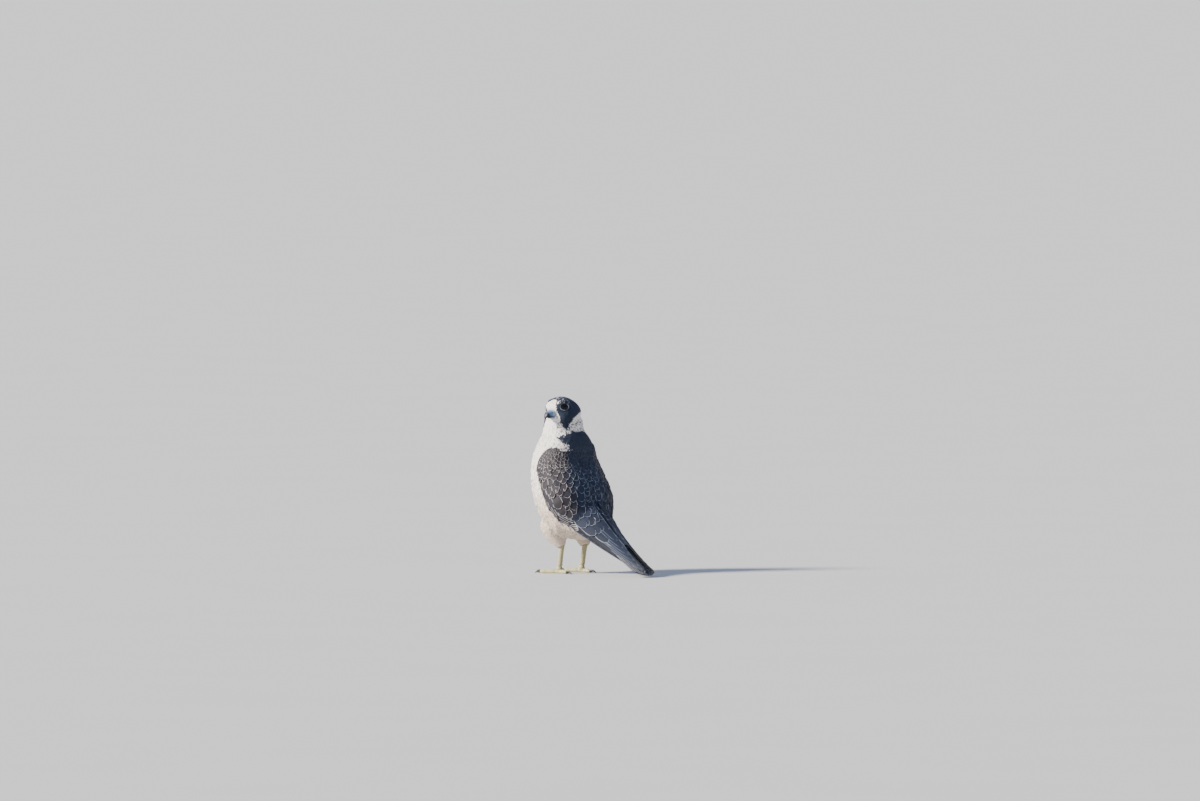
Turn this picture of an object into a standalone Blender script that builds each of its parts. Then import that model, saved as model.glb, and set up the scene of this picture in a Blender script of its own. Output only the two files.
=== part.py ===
"""A life-size young peregrine falcon, standing upright with its head turned over its left shoulder.

Metres, +Z up. The trunk faces -Y, so the bird's left side is +X. The floor is z = 0, and the origin is on
the floor under the centre of the bounding box.
"""

import math

import bmesh
import bpy
from mathutils import Matrix, Vector

MM = 0.001

# ---- driving sizes, in millimetres ----------------------------------------------------------------
GAP = 0.3                    # between solids that meet
TESSELLATION = 0.2           # extra room where a cutter's facets don't line up with the body's
BODY_LENGTH = 250.0          # head to rump along the spine
NECK_END = 0.272             # where neck and trunk meet, as a share of the body's length
WING_PROUD = 1.2             # wing's surface above the body's outline

HEAD_CENTRE = (8.0, 6.5, 306.0)   # left, forward, up
HEAD_YAW = 94.0              # degrees that the head is turned to the bird's left
HEAD_PITCH = 3.0             # degrees that the bill points down
HEAD_BACK = 40.0             # centre to nape
HEAD_FRONT = 30.0            # centre to forehead
HEAD_HALF_WIDTH = 31.0
HEAD_UP = 29.6
HEAD_DOWN = 29.0
PLAN_SQUARENESS = (2.7, 2.1)      # superellipse exponents: forehead, nape
CROWN_SQUARENESS = (2.2, 1.6)
THROAT_SQUARENESS = 2.2

EYE_FORWARD, EYE_SIDE, EYE_UP = 14.5, 16.6, 10.0   # eyeball's centre, in the head's own axes
EYE_RADIUS = 9.6

# Rises and hollows of the head, both sides alike: direction from its centre, millimetres, width
HEAD_RELIEF = (
    ((0.60, 0.60, 0.58), 3.6, 0.26),      # brow
    ((0.62, 0.74, 0.30), -5.0, 0.27),     # hollow round the eye
    ((0.86, 0.42, 0.34), 3.0, 0.22),      # forehead
    ((0.10, 0.80, -0.50), 3.2, 0.50),     # cheek
    ((0.90, 0.42, -0.06), -3.2, 0.22),    # lores
)

CERE_BASE_FORWARD = 22.0     # hidden start of the cere, inside the feathers
CERE_FRONT_FORWARD = 34.5
BILL_TIP_FORWARD = 48.5
BILL_HALF_WIDTH = 8.6
BILL_TOP_UP = 6.5
BILL_TIP_UP = -9.8
BILL_DEPTH = 10.8            # upper bill at the cere
BILL_HOOK = 88.0             # degrees that the culmen turns down over its length
CERE_UP = 0.6
CERE_DEPTH = 5.4             # below its middle
# Sections of the cere: forward, share of the bill's half width, height above its middle
CERE_SECTIONS = (
    (CERE_BASE_FORWARD, 1.05, 5.8),
    (28.0, 1.10, 6.2),
    (31.0, 1.06, 6.3),
    (CERE_FRONT_FORWARD - GAP, 0.98, 5.9),
)
# Sections of the lower bill: forward, up, half width, share of its full height
LOWER_BILL_SECTIONS = (
    (CERE_BASE_FORWARD, -7.1, 7.2, 0.9),
    (30.0, -7.3, 6.8, 1.0),
    (35.0, -7.6, 5.4, 0.95),
    (39.0, -7.8, 3.4, 0.8),
    (41.3, -7.8, 1.4, 0.5),
)
LOWER_BILL_RISE, LOWER_BILL_DROP = 1.7, 2.6

LEG_SIDE = 29.0              # left or right of the middle
# Sections of the feathered thigh: distance from the middle, forward, up, radius
THIGH_SECTIONS = (
    (31.0, -16.0, 118.0, 12.0),
    (36.0, -3.0, 98.0, 26.0),
    (36.0, -3.0, 83.0, 25.0),
    (33.0, -9.0, 66.0, 16.5),
    (30.0, -16.0, 52.0, 8.0),
)
FOOT_FORWARD = -8.0          # centre of the foot
FOOT_UP = 9.0
PALM_RADIUS = 6.2
SHANK_RADIUS = 4.8
SHANK_SHAPE = (1.1, 0.95, 0.95, 1.08)    # share of the radius from ankle to foot
SHANK_OVERLAP = 3.0          # start of the shank inside the thigh's end, cut off again
TOES = {                     # name: angle from forward, length without claw, root radius, claw length
    "inner": (-27.0, 34.0, 4.6, 15.0),
    "middle": (2.0, 50.0, 4.6, 14.0),
    "outer": (30.0, 38.0, 4.0, 12.0),
    "hind": (176.0, 22.0, 4.8, 18.0),
}

CLAW_GAP = GAP + 0.5         # between a toe's end and its claw
CLAW_BEND = 105.0            # degrees that a claw turns down
CLAW_TIP_RADIUS = 0.35

TAIL_ROOT = (-60.0, 103.0)   # forward, up: the hidden start of the tail
TAIL_TIP = (-232.0, 2.6)
TAIL_HALF_WIDTH = 29.0
TAIL_TIP_THICKNESS = 4.0
TAIL_ROOT_THICKNESS = 22.0
TAIL_ARCH = 4.0              # its edges lie this much lower than its middle
TAIL_SQUARENESS = 2.6

# Sections of the body from neck to rump: forward, up, half width, depth to the breast and to the back
BODY_SECTIONS = (
    (13.0, 304.0, 25.0, 25.0, 25.0),
    (14.0, 294.0, 33.0, 33.5, 32.5),
    (13.0, 281.0, 35.5, 36.0, 34.5),
    (12.5, 269.0, 38.0, 37.0, 35.0),
    (11.5, 256.0, 45.5, 43.5, 42.5),
    (10.5, 237.0, 56.0, 51.0, 48.5),
    (9.5, 213.0, 63.5, 58.5, 49.0),
    (3.5, 186.0, 70.5, 63.5, 52.5),
    (-6.5, 160.0, 75.5, 63.5, 56.0),
    (-18.0, 135.0, 77.0, 63.5, 57.0),
    (-36.0, 112.0, 74.0, 54.0, 50.0),
    (-59.0, 96.0, 58.0, 37.0, 37.0),
    (-82.0, 84.0, 31.0, 19.0, 20.0),
)
BREAST_SQUARENESS, BACK_SQUARENESS = 2.15, 2.7     # superellipse exponents

# The folded wing on the body: share of the body's length, angles of its front and back edge, thickness
WING_SECTIONS = (
    (0.386, -31.0, -35.0, 0.0),
    (0.402, -18.0, -45.0, 5.0),
    (0.430, -7.0, -59.0, 8.0),
    (0.480, 3.0, -67.0, 9.0),
    (0.540, 6.0, -73.0, 9.0),
    (0.610, 0.0, -78.0, 9.0),
    (0.690, -3.0, -82.0, 9.0),
    (0.790, -3.5, -84.0, 9.0),
    (0.900, 2.0, -85.0, 7.0),
    (1.000, 0.0, -85.0, 5.0),
)
SHOULDER_ROWS = ((0.33, -12.0, -55.0), (0.372, -23.0, -44.0))    # trunk only, above the wing
WING_SPAN = (0.0, 0.06, 0.2, 0.4, 0.6, 0.8, 0.94, 1.0)           # points across the wing, edge to edge
WING_RECESS = (0.0, 0.7, 1.0, 1.0, 1.0, 1.0, 0.7, 0.0)           # share of the thickness sunk in the trunk

# The long flight feathers of a wing, as a plate that roofs the tail: forward, then left and up of its outer
# lower edge and of its inner upper edge, then half thickness and camber
PRIMARY_SECTIONS = (
    (-48.0, 62.0, 107.0, 14.0, 140.0, 6.5, 8.0),
    (-72.0, 51.0, 84.0, 6.0, 136.0, 6.0, 8.0),
    (-98.0, 42.5, 68.0, 4.5, 113.0, 5.0, 7.0),
    (-126.0, 34.5, 52.5, 4.0, 88.0, 4.0, 5.5),
    (-156.0, 27.0, 37.5, 4.0, 64.5, 3.2, 4.0),
    (-186.0, 20.5, 23.5, 4.5, 43.0, 2.5, 2.6),
    (-211.0, 16.0, 13.5, 6.0, 26.5, 1.9, 1.4),
    (-229.0, 13.0, 9.0, 8.5, 14.5, 1.3, 0.5),
)


def point(left, forward, up):
    """A place given in millimetres as left, forward, up, in the model's metres."""
    return Vector((left * MM, -forward * MM, up * MM))


# ---- materials ------------------------------------------------------------------------------------
def material(name, colour, roughness, metallic=0.0):
    made = bpy.data.materials.new(name)
    made.use_nodes = True
    shader = made.node_tree.nodes["Principled BSDF"]
    shader.inputs["Base Color"].default_value = (*colour, 1.0)
    shader.inputs["Roughness"].default_value = roughness
    shader.inputs["Metallic"].default_value = metallic
    return made


def make_materials():
    return {
        "pale_plumage": material("pale_plumage", (0.80, 0.75, 0.66), 0.75),
        "dark_plumage": material("dark_plumage", (0.085, 0.085, 0.10), 0.65),
        "eye": material("eye", (0.012, 0.008, 0.006), 0.08),
        "cere": material("cere", (0.42, 0.52, 0.50), 0.45),
        "bill": material("bill", (0.16, 0.21, 0.28), 0.30),
        "foot_skin": material("foot_skin", (0.52, 0.53, 0.36), 0.55),
        "claw": material("claw", (0.02, 0.02, 0.022), 0.25),
    }


# ---- curves and meshes ----------------------------------------------------------------------------
def smooth(knots, t):
    """A smooth curve through the rows of knots, read at t from 0 to 1. Each row is a tuple of numbers."""
    last = len(knots) - 1
    place = min(max(t, 0.0), 1.0) * last
    i = min(int(place), last - 1)
    u = place - i
    before, start, end, after = (knots[min(max(i + k, 0), last)] for k in (-1, 0, 1, 2))
    return tuple(
        b + 0.5 * u * (c - a + u * (2 * a - 5 * b + 4 * c - d + u * (3 * (b - c) + d - a)))
        for a, b, c, d in zip(before, start, end, after)
    )


def loft(name, rings, slot, materials):
    """A closed solid through rings of points, each the same number, with both ends capped."""
    built = bmesh.new()
    rows = [[built.verts.new(p) for p in ring] for ring in rings]
    sides = len(rows[0])
    for lower, upper in zip(rows, rows[1:]):
        for i in range(sides):
            j = (i + 1) % sides
            built.faces.new((lower[i], lower[j], upper[j]))
            built.faces.new((lower[i], upper[j], upper[i]))
    built.faces.new(rows[0][::-1])
    built.faces.new(rows[-1])
    bmesh.ops.recalc_face_normals(built, faces=built.faces)
    return finish_mesh(name, built, slot, materials)


def finish_mesh(name, built, slot, materials):
    bmesh.ops.triangulate(built, faces=built.faces, quad_method="FIXED")
    mesh = bpy.data.meshes.new(name)
    built.to_mesh(mesh)
    built.free()
    mesh.materials.append(materials[slot])
    mesh.shade_smooth()
    mesh.set_sharp_from_angle(angle=math.radians(45))
    made = bpy.data.objects.new(name, mesh)
    bpy.context.scene.collection.objects.link(made)
    return made


def as_cutter(made):
    made.hide_render = True
    made.display_type = "WIRE"
    return made


def boolean(target, operation, *others):
    for other in others:
        change = target.modifiers.new(f"{operation.lower()}_{other.name}", "BOOLEAN")
        change.operation = operation
        change.solver = "EXACT"
        change.object = other
    return target


def tube_rings(path, radii, sides, flat_floor=False):
    """Rings round a path in millimetres, a radius for each point. A flat floor keeps them above z = 0."""
    rings = []
    across = (Vector(path[1]) - Vector(path[0])).cross(Vector((0, 0, 1))).normalized()
    for i, centre in enumerate(path):
        ahead = path[min(i + 1, len(path) - 1)]
        behind = path[max(i - 1, 0)]
        along = (Vector(ahead) - Vector(behind)).normalized()
        across = (across - across.project(along)).normalized()
        up = across.cross(along)
        ring = []
        for k in range(sides):
            turn = math.tau * k / sides
            at = Vector(centre) + radii[i] * (math.cos(turn) * across + math.sin(turn) * up)
            if flat_floor:
                at.z = max(at.z, 0.0)
            ring.append(point(*at))
        rings.append(ring)
    return rings


# ---- trunk, neck and wings ------------------------------------------------------------------------
def body_point(t, angle, grow=0.0):
    """A point of the body's outline. The angle is 0 at its left, 90 at the breast and -90 at the back."""
    step = 0.01
    forward, up, half_width, breast, back = smooth(BODY_SECTIONS, t)
    ahead, behind = smooth(BODY_SECTIONS, t - step), smooth(BODY_SECTIONS, t + step)
    along = Vector((ahead[0] - behind[0], ahead[1] - behind[1])).normalized()
    ventral = Vector((along.y, -along.x))
    side, front = math.cos(math.radians(angle)), math.sin(math.radians(angle))
    depth, power = (breast, BREAST_SQUARENESS) if front > 0 else (back, BACK_SQUARENESS)
    reach = (abs(side) ** power + abs(front) ** power) ** (-1 / power)
    out = ventral * (front * reach * (depth + grow))
    out -= along * max(t - 1, 0.0) * BODY_LENGTH
    return point(side * reach * (half_width + grow), forward + out.x, up + out.y)


def body_cutter(name, materials, grow, sides=48, rings=40):
    """The whole body a little larger, also beyond the rump, to cut its neighbours with."""
    shares = [i / (rings - 1) for i in range(rings)] + [1 + grow / BODY_LENGTH]
    rows = [[body_point(t, 360 * k / sides, grow) for k in range(sides)] for t in shares]
    return as_cutter(loft(name, rows, "pale_plumage", materials))


def between(start, stop, count):
    """The count values that divide the way from start to stop evenly, without its ends."""
    return [start + (stop - start) * (i + 1) / (count + 1) for i in range(count)]


def trunk_ring(t, front, back, thickness):
    """A section of the trunk, sunk under both wings."""
    across = [back + (front - back) * v for v in WING_SPAN]
    depths = [thickness * share for share in WING_RECESS]
    ring = [body_point(t, angle, -depth) for angle, depth in zip(across, depths)]
    ring += [body_point(t, angle) for angle in between(front, 180 - front, 9)]
    ring += [body_point(t, 180 - angle, -depth) for angle, depth in zip(across[::-1], depths)]
    ring += [body_point(t, angle) for angle in between(180 - back, 360 + back, 5)]
    return ring


def wing_ring(t, front, back, thickness, side):
    """A section of a folded wing: its inner face follows the trunk, its outer one stands proud of it."""
    across = [back + (front - back) * v for v in WING_SPAN]
    if side < 0:
        across = [180 - angle for angle in across[::-1]]
    inner = [body_point(t, angle, GAP - thickness * share) for angle, share in zip(across, WING_RECESS)]
    outer = [body_point(t, angle, WING_PROUD) for angle in across[::-1]]
    return inner + outer


def make_body(materials, head_space):
    """The trunk, the neck and both folded wings."""
    count = 15
    wing_rows = [smooth(WING_SECTIONS, i / (count - 1)) for i in range(count)]
    shoulder = [(NECK_END, -5.0, -62.0), *SHOULDER_ROWS]
    trunk_rows = [(*row, 0.0) for row in shoulder] + wing_rows
    loft("trunk", [trunk_ring(*row) for row in trunk_rows], "pale_plumage", materials)
    for side, word in ((1, "left"), (-1, "right")):
        loft(f"wing_{word}", [wing_ring(*row, side) for row in wing_rows], "dark_plumage", materials)
    sides, rings = 26, 7
    end = NECK_END - 0.003
    shares = [end * i / (rings - 1) for i in range(rings)]
    neck_rows = [[body_point(t, 360 * k / sides) for k in range(sides)] for t in shares]
    neck = loft("neck", neck_rows, "pale_plumage", materials)
    boolean(neck, "DIFFERENCE", head_space)


def primary_ring(section, side, sides):
    """A cambered lens between the outer and the inner edge of the folded primaries."""
    forward, outer_x, outer_z, inner_x, inner_z, thick, camber = section
    outer = Vector((side * outer_x, outer_z))
    inner = Vector((side * inner_x, inner_z))
    middle, across = (outer + inner) / 2, (outer - inner) / 2
    out = Vector((-across.y, across.x)).normalized() * side
    ring = []
    for k in range(sides):
        turn = math.tau * k / sides
        along, rise = math.cos(turn), math.sin(turn)
        at = middle + across * along + out * (rise * thick + camber * (1 - along * along))
        ring.append(point(at.x, forward, at.y))
    return ring


def make_primaries(materials, others):
    """The long flight feathers of each wing, from the body to their tips beside the end of the tail."""
    count, sides = 13, 14
    for side, word in ((1, "left"), (-1, "right")):
        rings = []
        for i in range(count):
            rings.append(primary_ring(smooth(PRIMARY_SECTIONS, i / (count - 1)), side, sides))
        blade = loft(f"primaries_{word}", rings, "dark_plumage", materials)
        boolean(blade, "DIFFERENCE", *others)


# ---- head -----------------------------------------------------------------------------------------
def head_matrix():
    """From the head's own axes (x forward, y left, z up, millimetres) to the model's metres."""
    turn = Matrix.Rotation(math.radians(HEAD_YAW - 90), 4, "Z")
    nod = Matrix.Rotation(math.radians(HEAD_PITCH), 4, "Y")
    place = Matrix.Translation(point(*HEAD_CENTRE))
    return place @ turn @ nod @ Matrix.Diagonal((MM, MM, MM, 1.0))


def bump(direction, centre, width):
    """A smooth rise on a sphere of directions, 1 at the centre direction."""
    return math.exp(-((direction - Vector(centre).normalized()).length / width) ** 2)


def head_surface(direction, grow=0.0):
    """The feathered head's surface in a direction from its centre, in the head's axes."""
    back = direction.x <= 0
    length = HEAD_BACK if back else HEAD_FRONT
    height = HEAD_UP if direction.z > 0 else HEAD_DOWN
    plan = PLAN_SQUARENESS[back]
    rise = CROWN_SQUARENESS[back] if direction.z > 0 else THROAT_SQUARENESS
    flat = (abs(direction.x / length) ** plan + abs(direction.y / HEAD_HALF_WIDTH) ** plan) ** (rise / plan)
    reach = (flat + abs(direction.z / height) ** rise) ** (-1 / rise)
    for (x, y, z), rise_mm, width in HEAD_RELIEF:
        reach += rise_mm * (bump(direction, (x, y, z), width) + bump(direction, (x, -y, z), width))
    return direction * (reach + grow)


def head_solid(name, materials, grow=0.0, segments=26, rows=15):
    built = bmesh.new()
    bmesh.ops.create_uvsphere(built, u_segments=segments, v_segments=rows, radius=1.0)
    for vert in built.verts:
        vert.co = head_matrix() @ head_surface(vert.co.normalized(), grow)
    return finish_mesh(name, built, "dark_plumage", materials)


def ball(name, centre, radius, slot, materials, segments=16, rows=8):
    built = bmesh.new()
    bmesh.ops.create_uvsphere(built, u_segments=segments, v_segments=rows, radius=radius * MM)
    bmesh.ops.translate(built, verts=built.verts, vec=head_matrix() @ Vector(centre))
    return finish_mesh(name, built, slot, materials)


def bill_ring(forward, up, half_width, top, bottom, lean, sides=14):
    """A section of the bill: rounded above, flatter below, leaning forward by an angle."""
    ring = []
    slope = Vector((math.sin(lean), 0.0, math.cos(lean)))
    for k in range(sides):
        turn = math.tau * k / sides
        side, high = math.cos(turn), math.sin(turn)
        tall = top if high > 0 else bottom
        at = Vector((forward, side * half_width, up)) + slope * (high * tall)
        ring.append(head_matrix() @ at)
    return ring


def upper_bill_ring(u):
    """A section of the hooked upper bill at u from 0 (cere) to 1 (tip), hung from the culmen."""
    hook = math.radians(BILL_HOOK) * u
    reach = (BILL_TIP_FORWARD - CERE_FRONT_FORWARD) / math.sin(math.radians(BILL_HOOK))
    forward = CERE_FRONT_FORWARD + reach * math.sin(hook)
    up = BILL_TIP_UP + (BILL_TOP_UP - BILL_TIP_UP) * math.cos(hook)
    half_drop = (BILL_DEPTH * (1 - u) ** 0.8 + 0.6) / 2
    half_width = BILL_HALF_WIDTH * 0.93 * (1 - u) ** 0.62 + 0.55
    lean = hook * 0.62
    forward -= math.sin(lean) * half_drop
    up -= math.cos(lean) * half_drop
    return bill_ring(forward, up, half_width, half_drop, half_drop, lean)


def make_bill(materials, head_space):
    cere_rings = [
        bill_ring(forward, CERE_UP, BILL_HALF_WIDTH * wide, top, CERE_DEPTH, 0.0)
        for forward, wide, top in CERE_SECTIONS
    ]
    cere = loft("cere", cere_rings, "cere", materials)
    boolean(cere, "DIFFERENCE", head_space)
    count, blunt_tip = 11, 0.985
    upper_rings = [upper_bill_ring(blunt_tip * i / (count - 1)) for i in range(count)]
    loft("bill_upper", upper_rings, "bill", materials)
    lower_rings = [
        bill_ring(forward, up, half_width, LOWER_BILL_RISE * tall, LOWER_BILL_DROP * tall, 0.0)
        for forward, up, half_width, tall in LOWER_BILL_SECTIONS
    ]
    lower = loft("bill_lower", lower_rings, "bill", materials)
    boolean(lower, "DIFFERENCE", head_space)


def make_head(materials):
    head = head_solid("head", materials)
    for side, word in ((1, "left"), (-1, "right")):
        centre = (EYE_FORWARD, side * EYE_SIDE, EYE_UP)
        ball(f"eye_{word}", centre, EYE_RADIUS, "eye", materials)
        socket = as_cutter(ball(f"socket_{word}", centre, EYE_RADIUS + GAP, "eye", materials))
        boolean(head, "DIFFERENCE", socket)


# ---- legs and tail --------------------------------------------------------------------------------
def below_floor(name, materials):
    """A wide block under the floor, which cuts the soles flat."""
    corners = [(-200, -400), (200, -400), (200, 200), (-200, 200)]
    rings = [[point(left, forward, up) for left, forward in corners] for up in (-40, 0)]
    return as_cutter(loft(name, rings, "pale_plumage", materials))


def make_leg(side, word, materials, body_space):
    count = 9
    samples = [smooth(THIGH_SECTIONS, i / (count - 1)) for i in range(count)]
    path = [Vector((side * across, forward, up)) for across, forward, up, radius in samples]
    radii = [radius for across, forward, up, radius in samples]
    thigh = loft(f"thigh_{word}", tube_rings(path, radii, 16), "pale_plumage", materials)
    boolean(thigh, "DIFFERENCE", body_space)
    ankle = path[-1].copy()
    path[-1] += (ankle - path[-2]).normalized() * GAP
    grown = tube_rings(path, [radius + GAP for radius in radii], 16)
    thigh_space = as_cutter(loft(f"thigh_space_{word}", grown, "pale_plumage", materials))
    foot = Vector((side * LEG_SIDE, FOOT_FORWARD, FOOT_UP))
    way = (foot - ankle).normalized()
    start = ankle - way * SHANK_OVERLAP
    stop = foot - way * (PALM_RADIUS + GAP)
    bones = [start.lerp(stop, i / 3) for i in range(4)]
    shank_rings = tube_rings(bones, [SHANK_RADIUS * share for share in SHANK_SHAPE], 12)
    shank = loft(f"shank_{word}", shank_rings, "foot_skin", materials)
    boolean(shank, "DIFFERENCE", thigh_space)
    make_foot(side, word, foot, materials)


def make_foot(side, word, foot, materials):
    """The palm and four toes in one solid, flat below, and a claw before each toe."""
    built = bmesh.new()
    bmesh.ops.create_uvsphere(built, u_segments=12, v_segments=7, radius=PALM_RADIUS * MM)
    bmesh.ops.translate(built, verts=built.verts, vec=point(*foot))
    palm = finish_mesh(f"foot_{word}", built, "foot_skin", materials)
    for name, (angle, length, root_radius, claw_length) in TOES.items():
        aim = math.radians(angle)
        way = Vector((side * math.sin(aim), math.cos(aim), 0.0))
        base = Vector((foot.x, foot.y, 0.0))
        joints = 1.5 if name == "hind" else 2.5
        path, radii = toe_path(base, way, length, root_radius, joints)
        toe = as_cutter(loft(f"toe_{name}_{word}", tube_rings(path, radii, 8), "foot_skin", materials))
        boolean(palm, "UNION", toe)
        tip = base + way * (length + CLAW_GAP)
        make_claw(f"claw_{name}_{word}", tip, way, radii[-1], claw_length, materials)
    boolean(palm, "DIFFERENCE", below_floor(f"floor_{word}", materials))


def toe_path(base, way, length, root_radius, joints, steps=7):
    """Centres and radii of a toe that lies on the floor and swells at its joints."""
    path, radii = [], []
    for i in range(steps):
        u = i / (steps - 1)
        swell = 1 + 0.10 * math.cos(math.tau * joints * u)
        radius = root_radius * (1 - 0.30 * u) * swell
        path.append(base + way * length * u + Vector((0, 0, radius * 0.82)))
        radii.append(radius)
    return path, radii


def make_claw(name, tip, way, toe_radius, length, materials, steps=6):
    """A claw that rises from the toe's end and curves down to the floor."""
    start_angle = 0.62
    arc_radius = length / math.radians(CLAW_BEND)
    path, radii = [], []
    for i in range(steps):
        u = i / (steps - 1)
        bend = math.radians(CLAW_BEND) * u - start_angle
        out = arc_radius * (math.sin(bend) + math.sin(start_angle))
        rise = arc_radius * 0.72 * (math.cos(bend) - math.cos(start_angle))
        up = max(toe_radius * 0.95 + rise, CLAW_TIP_RADIUS)
        path.append(tip + way * out + Vector((0, 0, up)))
        radii.append(toe_radius * 0.78 * (1 - u) ** 0.75 + CLAW_TIP_RADIUS)
    rings = tube_rings(path, radii, 8, flat_floor=True)
    flat_start = point(*path[0])
    normal = Vector((way.x, -way.y, 0.0))
    rings[0] = [p - normal * (p - flat_start).dot(normal) for p in rings[0]]
    loft(name, rings, "claw", materials)


def tail_ring(u, grow, sides=16):
    """A section of the folded tail at u from 0 (root) to 1 (tip), kept above the floor."""
    length = math.dist(TAIL_ROOT, TAIL_TIP)
    along = (Vector(TAIL_TIP) - Vector(TAIL_ROOT)) / length
    normal = Vector((-along.y, along.x))
    if normal.y < 0:
        normal = -normal
    round_end = math.sqrt(max(0.0, 1 - max(0.0, (u - 0.90) / 0.105) ** 2))
    half_width = TAIL_HALF_WIDTH * (0.72 + 0.28 * u) * max(round_end, 0.25) + grow
    root = (TAIL_ROOT_THICKNESS - TAIL_TIP_THICKNESS) / 2
    half_thick = root * (1 - u) ** 1.3 + TAIL_TIP_THICKNESS / 2 + grow
    floor = -1.0 if grow else 0.0
    ring = []
    for k in range(sides):
        turn = math.tau * k / sides
        side, high = math.cos(turn), math.sin(turn)
        reach = (abs(side) ** TAIL_SQUARENESS + abs(high) ** TAIL_SQUARENESS) ** (-1 / TAIL_SQUARENESS)
        off = high * reach * half_thick - TAIL_ARCH * (1 - u * 0.4) * side * side
        forward, up = Vector(TAIL_ROOT) + along * length * u + normal * off
        ring.append(point(side * reach * half_width, forward, max(up, floor)))
    return ring


def make_tail(name, materials, grow=0.0, count=14):
    """Folded tail: a flat wedge with a rounded end that comes down to the floor."""
    rings = [tail_ring(i / (count - 1), grow) for i in range(count)]
    return loft(name, rings, "dark_plumage", materials)


def centre_on_origin():
    """Moves everything so that the bounding box is centred over the origin, on the floor."""
    bpy.context.view_layer.update()
    graph = bpy.context.evaluated_depsgraph_get()
    low, high = Vector((1e9,) * 3), Vector((-1e9,) * 3)
    for made in bpy.data.objects:
        if made.type != "MESH" or made.hide_render:
            continue
        for vert in made.evaluated_get(graph).data.vertices:
            at = made.matrix_world @ vert.co
            low = Vector(map(min, low, at))
            high = Vector(map(max, high, at))
    holder = bpy.data.objects.new("falcon", None)
    bpy.context.scene.collection.objects.link(holder)
    for made in list(bpy.data.objects):
        if made is not holder:
            made.parent = holder
    holder.location = (-(low.x + high.x) / 2, -(low.y + high.y) / 2, -low.z)


def main():
    for old in list(bpy.data.objects):
        bpy.data.objects.remove(old)
    materials = make_materials()
    head_space = as_cutter(head_solid("head_space", materials, grow=GAP))
    body_space = body_cutter("body_space", materials, TESSELLATION + GAP)
    wing_space = body_cutter("wing_space", materials, TESSELLATION + GAP + WING_PROUD)
    make_body(materials, head_space)
    make_head(materials)
    make_bill(materials, head_space)
    for side, word in ((1, "left"), (-1, "right")):
        make_leg(side, word, materials, body_space)
    tail = make_tail("tail", materials)
    boolean(tail, "DIFFERENCE", wing_space)
    tail_space = as_cutter(make_tail("tail_space", materials, grow=GAP))
    make_primaries(materials, (wing_space, tail_space))
    centre_on_origin()


main()
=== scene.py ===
"""Looks of the life-size young peregrine falcon: skin, feathers, bill, eyes, legs, floor, light and camera.

Lengths are in millimetres in the part's own frame: +Z up, +X to the bird's left, -Y where its breast faces.
Meshes are scaled to metres when they are made. On the head, local axes run forward, left and up from its
centre. Skin and feathers read their markings from one function of place.
"""
import functools
import math

import bmesh
import bpy
import numpy as np
from mathutils.bvhtree import BVHTree
from mathutils.kdtree import KDTree
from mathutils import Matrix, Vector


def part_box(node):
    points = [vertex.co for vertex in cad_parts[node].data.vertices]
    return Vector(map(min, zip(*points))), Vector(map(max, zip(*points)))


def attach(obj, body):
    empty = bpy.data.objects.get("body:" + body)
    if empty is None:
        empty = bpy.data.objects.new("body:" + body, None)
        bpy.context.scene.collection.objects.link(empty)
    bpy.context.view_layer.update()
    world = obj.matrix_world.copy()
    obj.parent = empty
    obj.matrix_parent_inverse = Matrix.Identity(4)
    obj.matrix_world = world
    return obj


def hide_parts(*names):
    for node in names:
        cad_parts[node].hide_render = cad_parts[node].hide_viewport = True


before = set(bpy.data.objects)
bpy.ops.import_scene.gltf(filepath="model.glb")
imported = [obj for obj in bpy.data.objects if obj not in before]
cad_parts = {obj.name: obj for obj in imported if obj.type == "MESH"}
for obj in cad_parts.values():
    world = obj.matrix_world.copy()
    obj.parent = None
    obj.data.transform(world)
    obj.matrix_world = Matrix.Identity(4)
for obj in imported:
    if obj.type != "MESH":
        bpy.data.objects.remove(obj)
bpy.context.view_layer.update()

MM = 0.001
SIDES = (("left", 1), ("right", -1))

# ---- the bird's plan ----
EYE_FORWARD, EYE_UP = 14.5, 10.0  # the eyes' middle, from the head's centre
HEAD_PITCH = 3.0  # degrees that the bill points down
BILL_BASE = (30.0, 0.0, 2.0)  # where the face's feathers spread from, in the head's axes
NECK_TOP, NECK_FOOT = 285.0, 262.0  # heights between which the head fades into the body

# Middle line of the body from the head to the tail's tip: y, z
SPINE = ((-96, 312), (-95, 285), (-95, 262), (-92, 213), (-76, 160), (-47, 112), (-1, 84), (70, 45), (149, 3))
SPINE_SAMPLES = 500
PLACES_AT_ONCE = 4000  # places compared with the spine in one go

# ---- colours ----
CREAM = (0.84, 0.815, 0.775)
BUFF = (0.60, 0.43, 0.27)
# dark slate-brown of the plumage, tinted blue as painted shade from the sky
SLATE_WITH_SKY_SHADE = (0.0095, 0.0165, 0.0340)
BROWN = (0.0245, 0.0220, 0.0275)
STREAK = (0.045, 0.038, 0.040)
# pale fringe tinted blue as painted shade from the sky; the warm fringe is its colour in the light
FRINGE_WITH_SKY_SHADE = (0.27, 0.33, 0.43)
WARM_FRINGE = (0.60, 0.54, 0.52)

rng = np.random.default_rng(7)


# ---- small helpers ----
def unit(vectors):
    return vectors / np.maximum(np.linalg.norm(vectors, axis=-1, keepdims=True), 1e-9)


def along_surface(ways, normals):
    """Ways turned to run along a surface that has these normals."""
    return unit(ways - normals * (ways * normals).sum(1, keepdims=True))


def step(low, high, value):
    """0 below low, 1 above high, smooth between them."""
    t = np.clip((np.asarray(value, float) - low) / (high - low), 0.0, 1.0)
    return t * t * (3 - 2 * t)


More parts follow.
